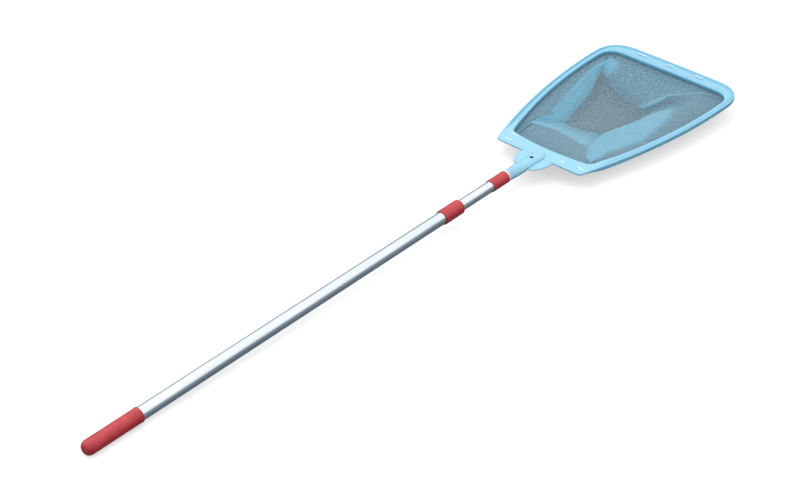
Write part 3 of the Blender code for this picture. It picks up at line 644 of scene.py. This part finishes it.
def build_collars():
    start, end = LOCK_COLLAR
    lip = OUTER_TUBE[1] + GAP
    loop = (
        (start, OUTER_RADIUS + GAP),
        (start, LOCK_COLLAR_RADIUS - LOCK_COLLAR_BEAD),
        (start + LOCK_COLLAR_TAPER, LOCK_COLLAR_RADIUS),
        (end - LOCK_COLLAR_TAPER, LOCK_COLLAR_RADIUS),
        (end, LOCK_COLLAR_RADIUS - LOCK_COLLAR_BEAD),
        (end, INNER_RADIUS + GAP),
        (lip, INNER_RADIUS + GAP),
        (lip, OUTER_RADIUS + GAP),
    )
    radii = (0.0003, 0.0010, 0.0015, 0.0015, 0.0012, 0.0003, 0.0, 0.0)
    profile = rounded(loop, radii)
    collar = turned("lock_collar_sleeve", profile, VINYL, "outer_pole", "red_vinyl", "lock_collar")
    raise_parting_line(collar)
    start, end = HEAD_COLLAR
    loop = sleeve(start, end, HEAD_COLLAR_RADIUS, INNER_RADIUS + GAP, 0.0006)
    turned("head_collar_sleeve", loop, VINYL, "inner_pole", "red_vinyl", "head_collar")
    loop = sleeve(end + GAP, SOCKET_SHOULDER - GAP, NECK_RADIUS + GAP, INNER_RADIUS - TUBE_WALL, 0.0008)
    turned("socket_ring_white", loop, NYLON, "inner_pole", "white_nylon", "socket_ring")


# ---------------------------------------------------------------- the socket's tongue


def tongue_half_width(x):
    half = NECK_RADIUS + (TONGUE_HALF_WIDTH - NECK_RADIUS) * smooth_step(x, SOCKET_SHOULDER, TONGUE_FLARED)
    into_end = x - (TONGUE_END - TONGUE_HALF_WIDTH)
    if into_end > 0:
        half = math.sqrt(max(TONGUE_HALF_WIDTH**2 - into_end**2, 0.0))
    return half


def tongue_top(x):
    fall = smooth_step(x, SOCKET_SHOULDER - 0.02, TONGUE_END + 0.02)
    return NECK_RADIUS + (TONGUE_END_HEIGHT - NECK_RADIUS) * fall


def tongue_section(x, inset, points=96):
    """The tongue's outline at a station, drawn in by an inset. Its underside is flat over the plate."""
    half = max(tongue_half_width(x) - inset, 0.0004)
    top = tongue_top(x) - inset * 0.5
    squareness = 0.5 + 0.35 * (1 - smooth_step(x, SOCKET_SHOULDER, TONGUE_END))
    flat = smooth_step(x, TONGUE_FLAT_START - 0.0006, TONGUE_FLAT_START)
    ring = []
    for step in range(points):
        angle = 2 * math.pi * step / points
        across, up = math.cos(angle), math.sin(angle)
        if up >= 0:
            height = top * up ** (2 * squareness)
        else:
            height = (NECK_RADIUS - inset) * up
            height = height * (1 - flat) + GAP * flat
        if step in (0, points // 2):
            height = GAP * flat
        elif up > 0:
            height = max(height, (GAP + TONGUE_EDGE) * flat)
        ring.append((x, half * across, height))
    return ring


def hub_screw_profile():
    """The screw's half outline, from its point up to the floor of the recess in its head."""
    seat = SCREW_SEAT + GAP
    head = HUB_HEAD_HEIGHT
    return rounded(
        (
            (HUB_POINT, 0.0),
            (HUB_POINT + 0.0005, HUB_SHANK_RADIUS),
            (seat, HUB_SHANK_RADIUS),
            (seat, HUB_HEAD_RADIUS),
            (seat + head, HUB_HEAD_RADIUS - 0.0002),
            (seat + head, HUB_SHANK_RADIUS),
            (seat + head - HUB_RECESS_DEPTH, 0.0008),
            (seat + head - HUB_RECESS_DEPTH, 0.0),
        ),
        (0.0, 0.0, 0.0, 0.0002, 0.0005, 0.0002, 0.0, 0.0),
    )


def build_hub_screw():
    options = {"centre": (SCREW_HOLE_X, 0.0, 0.0), "axis": "Z", "sides": 32}
    # The screw head takes the hole's painted shade, not a steel colour.
    turned("hub_screw_head", hub_screw_profile(), HOLE_SHADE, "inner_pole", "steel", "hub_screw", **options)


def build_socket():
    stations = [SOCKET_SHOULDER + 0.0006 * step for step in range(3)]
    straight_end = TONGUE_END - TONGUE_HALF_WIDTH
    span = straight_end - stations[-1]
    stations += [stations[-1] + span * step / 40 for step in range(1, 41)]
    stations += [TONGUE_FLAT_START - 0.0006 * step / 4 for step in range(5)]
    stations = sorted(stations)
    for step in range(1, 25):
        angle = math.pi / 2 * step / 24.4
        stations.append(straight_end + TONGUE_HALF_WIDTH * math.sin(angle))
    rings = []
    for x in stations:
        shoulder = 0.0009 * (1 - smooth_step(x, SOCKET_SHOULDER, SOCKET_SHOULDER + 0.0012))
        rings.append(tongue_section(x, shoulder))
    bm = bmesh.new()
    add_loft(bm, rings, closed=False)
    socket = add_piece("tongue_socket", bm, PLASTIC, "inner_pole", "blue_plastic", "handle_socket")

    bm = bmesh.new()
    loop = [
        (BELOW_TONGUE, 0.0),
        (BELOW_TONGUE, SHANK_HOLE_RADIUS),
        (SCREW_SEAT, SHANK_HOLE_RADIUS),
        (SCREW_SEAT, SCREW_HOLE_RADIUS),
        (COUNTERSINK[0], SCREW_HOLE_RADIUS),
        (COUNTERSINK[1], COUNTERSINK_RADIUS),
        (ABOVE_TONGUE, COUNTERSINK_RADIUS),
        (ABOVE_TONGUE, 0.0),
    ]
    add_turned(bm, loop, (SCREW_HOLE_X, 0.0, 0.0), "Z", 48)
    # The hole's walls get the same painted shade.
    cut(socket, bm, HOLE_SHADE)
    sharpen(socket)


def cut(piece, bm, material):
    """Takes a shape in the pole's frame out of a piece, with a material of its own in the hole."""
    bmesh.ops.recalc_face_normals(bm, faces=bm.faces)
    mesh = bpy.data.meshes.new("cutter")
    bm.to_mesh(mesh)
    bm.free()
    mesh.transform(POLE)
    mesh.materials.append(material)
    cutter = bpy.data.objects.new("cutter", mesh)
    bpy.context.scene.collection.objects.link(cutter)
    piece.data.materials.append(material)
    modifier = piece.modifiers.new("cut", "BOOLEAN")
    modifier.operation = "DIFFERENCE"
    modifier.solver = "EXACT"
    modifier.object = cutter
    modifier.material_mode = "TRANSFER"
    apply_modifiers(piece)
    bpy.data.objects.remove(cutter)


def apply_modifiers(piece):
    bpy.context.view_layer.update()
    graph = bpy.context.evaluated_depsgraph_get()
    mesh = bpy.data.meshes.new_from_object(piece.evaluated_get(graph), depsgraph=graph)
    piece.modifiers.clear()
    piece.data = mesh


# ---------------------------------------------------------------- the net frame


def frame_section(index):
    """One channel section: a bead outside, a dish with a groove, then the inner wall.

    Gives (point, recess), where the recess is the share of painted shade at a point: strongest on the inner
    wall and underside, less on the skirt and in the dish.
    """
    x = OUTSIDE[index].x
    deepening = smooth_step(x, *SKIRT_DEEPENS)
    skirt = NEAR_SKIRT_DEPTH + (RAIL_SKIRT_DEPTH - NEAR_SKIRT_DEPTH) * deepening
    rail = smooth_step(x, *DISH_BEGINS)
    dish = DISH_DEPTH * rail
    # Painted shade in the dish, weaker on the far lip.
    recess_shade = rail * (1 - 0.55 * smooth_step(x, *FAR_LIP_BEGINS))
    # The third number is the share of painted shade: the skirt is darkened toward its lower edge.
    outer = (
        (0.0, -skirt, 0.7),
        (0.0, -0.0022, 0.4),
        (0.0002, -0.0013, 0.1),
        (0.0007, -0.0006, 0.0),
        (0.0014, -0.0002, 0.0),
        (0.0022, 0.0, 0.0),
        (0.0036, -dish * 0.10, 0.0),
        (0.0044, -dish * 0.60, 0.5 * recess_shade),
        (0.0049, -dish, recess_shade),
        (0.0060, -dish, recess_shade),
        (0.0066, -dish * 0.8, 0.5 * recess_shade),
    )
    ring = [(outside_point(index, inward, z), recess) for inward, z, recess in outer]
    middle = (OUTSIDE[index] + MOUTH[index]) / 2
    ring.append((Vector((middle.x, middle.y, -dish * 0.8)), 0.45 * recess_shade))
    inner = (
        (0.0048, -dish * 0.8, 0.40 * recess_shade),
        (0.0036, -dish * 0.55, 0.0),
        (0.0018, -dish * 0.55 - 0.0001, 0.0),
        (0.0009, -dish * 0.55 - 0.0005, 0.1),
        (0.0003, -dish * 0.55 - 0.0012, 0.5),
        (0.0, -dish * 0.55 - 0.0022, 0.8),
        (0.0, -INNER_WALL_DEPTH, 1.0),
        (WALL_THICKNESS, -INNER_WALL_DEPTH, 1.0),
        (WALL_THICKNESS, -FLANGE_THICKNESS - 0.001, 1.0),
    )
    ring += [(mouth_point(index, outward, z), recess) for outward, z, recess in inner]
    ring.append((outside_point(index, WALL_THICKNESS, -FLANGE_THICKNESS - 0.001), 1.0))
    ring.append((outside_point(index, WALL_THICKNESS, -skirt), 1.0))
    return ring


def gusset_outline(steps=24):
    half = []
    for step in range(steps + 1):
        angle = math.pi / 2 * step / steps
        x = GUSSET_START + (FRAME_CORNERS[0][0] - GUSSET_START) * (1 - math.cos(angle))
        y = TONGUE_HALF_WIDTH + (GUSSET_HALF_WIDTH - TONGUE_HALF_WIDTH) * math.sin(angle)
        half.append((x, y))
    half.append((FRAME_CORNERS[0][0] + 0.0012, GUSSET_HALF_WIDTH))
    return half + [(x, -y) for x, y in reversed(half)]


def add_gusset(bm):
    """Wings lower than the plate, with a rounded upper edge."""
    outline = [Vector(point) for point in gusset_outline()]
    normals = outward_normals(outline)
    rings = []
    for inset, z in ((0.0, -0.0038), (0.0, -0.0020), (0.0003, -0.0014), (0.0009, -0.0012)):
        rings.append([(*(p + n * inset), z) for p, n in zip(outline, normals)])
    add_loft(bm, rings, closed=False)


def add_land(bm):
    """The flat land under the tongue, higher than the wings beside it."""
    half = TONGUE_HALF_WIDTH - GAP
    low, high = GUSSET_START, FRAME_CORNERS[0][0] + 0.003
    corners = ((low, -half), (high, -half), (high, half), (low, half))
    add_loft(bm, [[(x, y, z) for x, y in corners] for z in (-0.0036, -0.0002)], closed=False)


def add_keel(bm):
    """A tapering half round below the tongue and the near plate's edge."""
    wide, narrow = KEEL_RADII
    rings = []
    for step in range(13):
        share = step / 12
        x = GUSSET_START + (KEEL_END - GUSSET_START) * share
        radius = wide + (narrow - wide) * share
        angles = [math.pi * turn / 32 for turn in range(33)]
        rings.append([(x, radius * math.cos(a), -0.001 - radius * math.sin(a)) for a in angles])
    add_loft(bm, rings, closed=False)


def oblong(x, y, turn, half_length, inset):
    """Points round a pad with round ends, its long axis across the pole unless turned."""
    reach = PAD_HALF_WIDTH - inset
    points = []
    for step in range(32):
        angle = 2 * math.pi * step / 32
        across = reach * math.cos(angle)
        straight = math.copysign(half_length - PAD_HALF_WIDTH, math.sin(angle))
        along = reach * math.sin(angle) + straight
        points.append(
            (
                x + across * math.cos(turn) - along * math.sin(turn),
                y + across * math.sin(turn) + along * math.cos(turn),
            )
        )
    return points


def build_pads():
    """Low bosses on the near plate and the far lip, their tops painted pale as glints."""
    bm = bmesh.new()
    for pad in PLACES_OF_PADS:
        rings = []
        for inset, z in ((0.0, -0.0010), (0.0, 0.0004), (0.0003, 0.0008), (0.0009, 0.0010)):
            rings.append([(*point, z) for point in oblong(*pad, inset)])
        add_loft(bm, rings, closed=False)
    sharpen(add_piece("moulded_pads", bm, GLINT_PAINT, "inner_pole", "blue_plastic"), 50)


def build_frame():
    bm = bmesh.new()
    recess = bm.verts.layers.float.new("recess")
    sections = [frame_section(index) for index in range(len(MOUTH))]
    add_loft(bm, [[point for point, _ in section] for section in sections], closed=True)
    recess_shades = [recess_shade for section in sections for _, recess_shade in section]
    for vert, recess_shade in zip(bm.verts, recess_shades):
        vert[recess] = recess_shade
    add_gusset(bm)
    add_land(bm)
    add_keel(bm)
    rim = add_piece("moulded_rim", bm, PLASTIC, "inner_pole", "blue_plastic", "net_frame")
    sharpen(rim, 50)


# ---------------------------------------------------------------- the bag


def mouth_index(side, share):
    """The mouth's sample at a share of one side: 0 right, 1 far, 2 left, 3 near."""
    first = sum(EDGE_SAMPLES[:side]) + sum(CORNER_SAMPLES[:side])
    return first + round(EDGE_SAMPLES[side] * share)


def corner_index(side):
    """The middle of the rounded corner that follows a side."""
    return mouth_index(side, 1.0) + CORNER_SAMPLES[side] // 2


def floor_height(x):
    """The height, in the pole's frame, of the floor that the skimmer lies on."""
    down = POLE.inverted() @ Vector((0.0, 0.0, 0.0))
    normal = POLE.inverted().to_3x3() @ Vector((0.0, 0.0, 1.0))
    return down.z - (x - down.x) * normal.x / normal.z


# Where the slack cloth lies, column by column round the mouth, in millimetres: its upper fold line,
# its crest and its foot, then how far it lies double at the upper line, above the crest, at the crest
# and at the foot. The share lying double also sets the painted light that makes the folds paler.
# A wall's column starts with its share of that side of the mouth.
NEAR_LEFT_HIP = ((1412, 117, -12.5), (1447, 118, -15.0), (1508, 76, -37), (0.2, 0.4, 0.8, 1.0))
NEAR_WALL = (
    (0.20, (1425, 72, -20.0), (1467, 64, -28), (1513, 53, -39.5), (0.0, 0.1, 0.5, 1.0)),
    (0.42, (1420, 30, -21.0), (1465, 22, -30), (1522, 22, -41.5), (0.0, 0.1, 0.5, 1.0)),
    (0.64, (1415, -14, -21.0), (1457, -17, -29), (1532, 2, -42.5), (0.0, 0.1, 0.5, 1.0)),
    (0.85, (1405, -55, -18.5), (1450, -38, -25), (1536, -2, -43), (0.0, 0.1, 0.4, 0.9)),
)
NEAR_RIGHT_HIP = ((1398, -86, -11.8), (1436, -54, -14.5), (1538, -6, -43.5), (0.8, 1.0, 1.0, 0.3))
FAR_POCKET = (0.92, (1776, -103, -18), (1722, -52, -28), (1675, -32, -35), (0.0, 0.0, 0.0, 0.2))
RIGHT_WALL = (
    (0.13, (1446, -92, -14), (1484, -37, -18.5), (1548, -12, -44), (0.5, 1.0, 1.0, 0.3)),
    (0.26, (1500, -109, -17), (1524, -33, -21.5), (1570, -18, -45), (0.5, 1.0, 1.0, 0.3)),
    (0.39, (1550, -119, -19), (1562, -41, -24.5), (1597, -26, -45), (0.5, 1.0, 1.0, 0.3)),
    (0.52, (1600, -110, -21), (1601, -47, -27.5), (1626, -34, -44), (0.5, 1.0, 1.0, 0.3)),
    (0.66, (1658, -99, -22.5), (1637, -56, -31.5), (1656, -40, -41), (0.5, 1.0, 1.0, 0.3)),
    (0.80, (1722, -98, -22.5), (1682, -58, -32.5), (1668, -39, -38), (0.30, 0.60, 0.45, 0.15)),
    FAR_POCKET,
)
FAR_RIGHT_HIP = ((1807, -110, -13.0), (1752, -46, -19.5), (1680, -26, -30.5), (0.50, 0.52, 0.56, 0.8))
FAR_WALL = (
    (0.12, (1797, -76, -18.0), (1742, -20, -29), (1685, -2, -37), (0.0, 0.0, 0.0, 0.3)),
    (0.37, (1786, -15, -20.0), (1746, 15, -29.5), (1695, 35, -38.5), (0.0, 0.0, 0.0, 0.4)),
    (0.62, (1788, 45, -20.0), (1753, 60, -29), (1711, 76, -36), (0.0, 0.0, 0.0, 0.4)),
    (0.88, (1795, 105, -17.5), (1766, 110, -24.5), (1734, 118, -31.5), (0.2, 0.3, 0.3, 0.4)),
)
FAR_LEFT_HIP = ((1798, 150, -14.0), (1780, 148, -17.5), (1757, 150, -24), (0.5, 0.8, 0.9, 0.9))
LEFT_WALL = (
    (0.15, (1737, 168, -13), (1722, 157, -16.5), (1712, 134, -29), (0.25, 0.4, 0.7, 1.0)),
    (0.36, (1662, 157, -14), (1648, 138, -19.0), (1653, 111, -33.5), (0.25, 0.4, 0.7, 1.0)),
    (0.58, (1570, 143, -14.5), (1566, 121, -21.0), (1585, 95, -36.5), (0.25, 0.3, 0.6, 1.0)),
    (0.80, (1484, 124, -14.5), (1500, 103, -24), (1540, 84, -38), (0.2, 0.3, 0.5, 1.0)),
)
FLOOR_MIDDLE = (1604, 34)
EXTRA_COLUMNS = 2
CREST_RING, FOOT_RING = 5, 7


def bag_column(index, upper, crest, foot, double, middle, hip, pocket):
    """One column's places, each with its share of cloth lying double (painted paler), floor (painted
    shade), shadow (painted), hip (painted crease lines) and pocket (painted shade).
    """
    upper, crest, foot = (Vector(point) / 1000 for point in (upper, crest, foot))
    edge = mouth_point(index, BAG_LIP_OUTWARD, BAG_TOP)
    lip = edge.lerp(upper, 0.16)
    lip.z = edge.z + (upper.z - edge.z) * 0.35
    slope = upper.lerp(crest, 0.55)
    behind = crest.lerp(foot, 0.40)
    behind.z = crest.z + (foot.z - crest.z) * 0.60
    inside = foot.lerp(middle, 0.05)
    half_way = foot.lerp(middle, 0.40)
    half_way.z = min(foot.z - 0.003, floor_height(half_way.x) + 0.003)
    near_middle = foot.lerp(middle, 0.72)
    near_middle.z = floor_height(near_middle.x) + BAG_LIFT
    double_upper, double_slope, double_crest, double_foot = double
    return [
        (mouth_point(index, BAG_EDGE_OUTWARD, BAG_TOP), 0.0, 0.0, 1.0, 0.0, 0.0),
        (edge, 0.0, 0.0, 1.0, 0.0, 0.0),
        (lip, 0.0, 0.0, 0.3, hip, 0.0),
        (upper, double_upper, 0.0, 0.0, hip, 0.0),
        (slope, double_slope, 0.0, 0.0, hip, pocket * 0.6),
        (crest, double_crest, 0.0, 0.0, hip, pocket),
        (behind, (double_crest + double_foot) / 2, 0.0, 0.1, hip, pocket),
        (foot, double_foot, 0.0, 0.55, hip, pocket * 0.4),
        (inside, 0.0, 1.0, 0.3, hip, 0.0),
        (half_way, 0.0, 1.0, 0.0, 0.0, 0.0),
        (near_middle, 0.0, 1.0, 0.0, 0.0, 0.0),
    ]


def between(first, second, share):
    """A column between two others. Its edge is put back on the mouth by the caller."""
    column = []
    for (place, *values), (next_place, *next_values) in zip(first, second):
        mixed_values = [a + (b - a) * share for a, b in zip(values, next_values)]
        column.append((place.lerp(next_place, share), *mixed_values))
    return column


def bag_columns(middle):
    """The design columns and those between them, anticlockwise from the near left hip."""
    designed = []
    for side, hip, wall in (
        (3, NEAR_LEFT_HIP, NEAR_WALL),
        (0, NEAR_RIGHT_HIP, RIGHT_WALL),
        (1, FAR_RIGHT_HIP, FAR_WALL),
        (2, FAR_LEFT_HIP, LEFT_WALL),
    ):
        designed.append((corner_index((side + 3) % 4), *hip, middle, 1.0, 0.0))
        for row in wall:
            share, *rest = row
            pocket = 1.0 if row is FAR_POCKET else 0.0
            designed.append((mouth_index(side, share), *rest, middle, 0.0, pocket))
    count = len(MOUTH)
    columns = []
    for number, design in enumerate(designed):
        following = designed[(number + 1) % len(designed)]
        first, second = bag_column(*design), bag_column(*following)
        columns.append(first)
        steps = (following[0] - design[0]) % count
        for extra in range(1, EXTRA_COLUMNS + 1):
            share = extra / (EXTRA_COLUMNS + 1)
            column = between(first, second, share)
            index = (design[0] + round(steps * share)) % count
            for ring, outward in enumerate((BAG_EDGE_OUTWARD, BAG_LIP_OUTWARD)):
                column[ring] = (mouth_point(index, outward, BAG_TOP), *column[ring][1:])
            columns.append(column)
    return columns


def bag_cage():
    """The control mesh: rings from the clamped edge, over the fold lines, to the floor's middle."""
    bm = bmesh.new()
    names = ("doubled_and_lit", "shade", "shadow", "hip", "pocket")
    layers = [bm.verts.layers.float.new(name) for name in names]
    crease = bm.edges.layers.float.new("crease_edge")
    middle = Vector((*FLOOR_MIDDLE, 0.0)) / 1000
    middle.z = floor_height(middle.x) + BAG_LIFT
    columns = []
    for places in bag_columns(middle):
        column = []
        for place, *values in places:
            vert = bm.verts.new(place)
            for layer, value in zip(layers, values):
                vert[layer] = value
            column.append(vert)
        columns.append(column)
    centre = bm.verts.new(middle)
    centre[layers[1]] = 1.0
    for number, column in enumerate(columns):
        following = columns[(number + 1) % len(columns)]
        for ring in range(len(column) - 1):
            bm.faces.new((column[ring], column[ring + 1], following[ring + 1], following[ring]))
        bm.faces.new((column[-1], centre, following[-1]))
        for ring, sharpness in ((1, 0.8), (CREST_RING, 0.7), (FOOT_RING, 0.8)):
            bm.edges.get((column[ring], following[ring]))[crease] = sharpness
    # The near left, near right and far right hips run down the bag as soft creases
    hips = (0, len(NEAR_WALL) + 1, len(NEAR_WALL) + len(RIGHT_WALL) + 2)
    for hip in hips:
        column = columns[hip * (EXTRA_COLUMNS + 1)]
        for ring in range(2, FOOT_RING):
            bm.edges.get((column[ring], column[ring + 1]))[crease] = 0.7
    return bm


def wrinkle(mesh):
    """Pleats that fan out from the bag's floor, with finer rumples between them, over its slack part."""
    middle = Vector(FLOOR_MIDDLE) / 1000
    inverse = POLE.inverted()
    for vert in mesh.vertices:
        place = inverse @ vert.co
        slack = smooth_step(BAG_TOP - place.z, 0.0003, 0.006)
        lying = smooth_step(place.z - floor_height(place.x), 0.0008, 0.006)
        arm = Vector((place.x, place.y)) - middle
        reach = arm.length
        around = arm.normalized() * PLEATS_AROUND
        pleat = noise_at(Vector((around.x, around.y, reach * 12.0)))
        rumple = noise_at(place * 55.0)
        fine = noise_at(place * 150.0)
        relief = PLEAT_HEIGHT * pleat + RUMPLE_HEIGHT * rumple + FINE_HEIGHT * fine
        lift = slack * lying * relief
        place.z = max(place.z + lift, floor_height(place.x) + BAG_LIFT)
        vert.co = POLE @ place


def build_bag(hem):
    bag = add_piece("net_bag_cloth", bag_cage(), MESH, "inner_pole", "net_mesh", "net_bag")
    smooth = bag.modifiers.new("smooth", "SUBSURF")
    smooth.levels = smooth.render_levels = 3
    apply_modifiers(bag)
    wrinkle(bag.data)
    inverse = POLE.inverted()
    layer = bag.data.uv_layers.new(name="UVMap")
    for loop in bag.data.loops:
        place = inverse @ bag.data.vertices[loop.vertex_index].co
        layer.data[loop.index].uv = (place.x - place.z * 0.6, place.y - place.z * 0.6)
    thicken = bag.modifiers.new("thicken", "SOLIDIFY")
    thicken.thickness = BAG_THICKNESS
    thicken.offset = 0.0
    apply_modifiers(bag)


def build_hem():
    bm = bmesh.new()
    inner, outer = HEM_OUTWARD
    bottom, top = HEM_FACES
    loop = ((inner, bottom), (inner, top), (outer, top), (outer, bottom))
    rings = [[mouth_point(index, outward, z) for outward, z in loop] for index in range(len(MOUTH))]
    add_loft(bm, rings, closed=True)
    uv = bm.loops.layers.uv.verify()
    for face in bm.faces:
        for corner in face.loops:
            corner[uv].uv = (corner.vert.co.x, corner.vert.co.y)
    hem = add_piece("hem_tape_ring", bm, TAPE, "inner_pole", "net_mesh", "net_hem")
    sharpen(hem)
    return hem


build_grip()
build_tubes()
build_collars()
build_socket()
build_hub_screw()
build_frame()
build_pads()
build_bag(build_hem())


# The finish of each CAD node that has no finer piece here, by how its name starts
FINISHES = {
    "outer_tube_plug": NYLON,
    "cam_plug": NYLON,
    "cam_ring": NYLON,
    "cam_washer": STEEL,
    "cam_screw": STEEL,
    "head_rivet": STEEL,
    "clamp_strip": PLASTIC,
    "strip_screw": STEEL,
}


def finish_cad_nodes():
    for name, node_object in frame["nodes"].items():
        for start, material in FINISHES.items():
            if name.startswith(start):
                for slot in node_object.material_slots:
                    slot.material = material


finish_cad_nodes()


# ---------------------------------------------------------------- camera, floor and light


def build_camera():
    """Looks down at the plane of the pole from behind the grip's right side."""
    forward = Vector(CAMERA_FORWARD).normalized()
    right = forward.cross(Vector((0.0, 0.0, 1.0))).normalized()
    up = right.cross(forward)
    matrix = Matrix((right, up, -forward)).transposed().to_4x4()
    matrix.translation = CAMERA_PLACE
    data = bpy.data.cameras.new("camera")
    data.sensor_width = 36.0
    data.lens = CAMERA_LENS
    data.clip_end = 50.0
    camera = bpy.data.objects.new("camera", data)
    camera.matrix_world = POLE @ matrix
    bpy.context.scene.collection.objects.link(camera)
    bpy.context.scene.camera = camera


def studio_floor_material():
    """White to the eye with a weak shadow, and dark in what the object's gloss picks up from it."""
    material, tree, shader = new_material("studio_floor", Roughness=0.9, Emission_Strength=0.55)
    seen = node(tree, "ShaderNodeLightPath").outputs["Is Camera Ray"]
    colour = mixed(tree, seen, (0.10, 0.14, 0.17), (0.55, 0.55, 0.55))
    tree.links.new(colour, shader.inputs["Base Color"])
    glow = mixed(tree, seen, (0.0, 0.0, 0.0), (1.0, 1.0, 1.0))
    tree.links.new(glow, shader.inputs["Emission Color"])
    return material


def studio_world():
    """A white tent: bright overhead, and dimmer towards the horizon."""
    world = bpy.data.worlds.new("studio")
    world.use_nodes = True
    tree = world.node_tree
    background = tree.nodes["Background"]
    direction = node(tree, "ShaderNodeTexCoord").outputs["Generated"]
    height = node(tree, "ShaderNodeSeparateXYZ", Vector=direction).outputs["Z"]
    background.inputs["Color"].default_value = (1.0, 1.0, 1.0, 1.0)
    tree.links.new(ranged(tree, height, 0.10, 0.45, 0.26, 1.24), background.inputs["Strength"])
    return world


def build_studio():
    bm = bmesh.new()
    bmesh.ops.create_grid(bm, x_segments=1, y_segments=1, size=FLOOR_HALF_SIZE)
    mesh = bpy.data.meshes.new("studio_floor")
    bm.to_mesh(mesh)
    bm.free()
    mesh.materials.append(studio_floor_material())
    floor = bpy.data.objects.new("studio_floor", mesh)
    floor.location.z = -FLOOR_DROP
    bpy.context.scene.collection.objects.link(floor)

    bpy.context.scene.world = studio_world()
    bpy.context.scene.view_settings.view_transform = "Standard"

    for name, place, size, power in LAMPS:
        data = bpy.data.lights.new(name, "AREA")
        data.size = size
        data.energy = power
        lamp = bpy.data.objects.new(name, data)
        lamp.location = place
        lamp.rotation_euler = (-Vector(place)).to_track_quat("-Z", "Y").to_euler()
        bpy.context.scene.collection.objects.link(lamp)


build_camera()
build_studio()
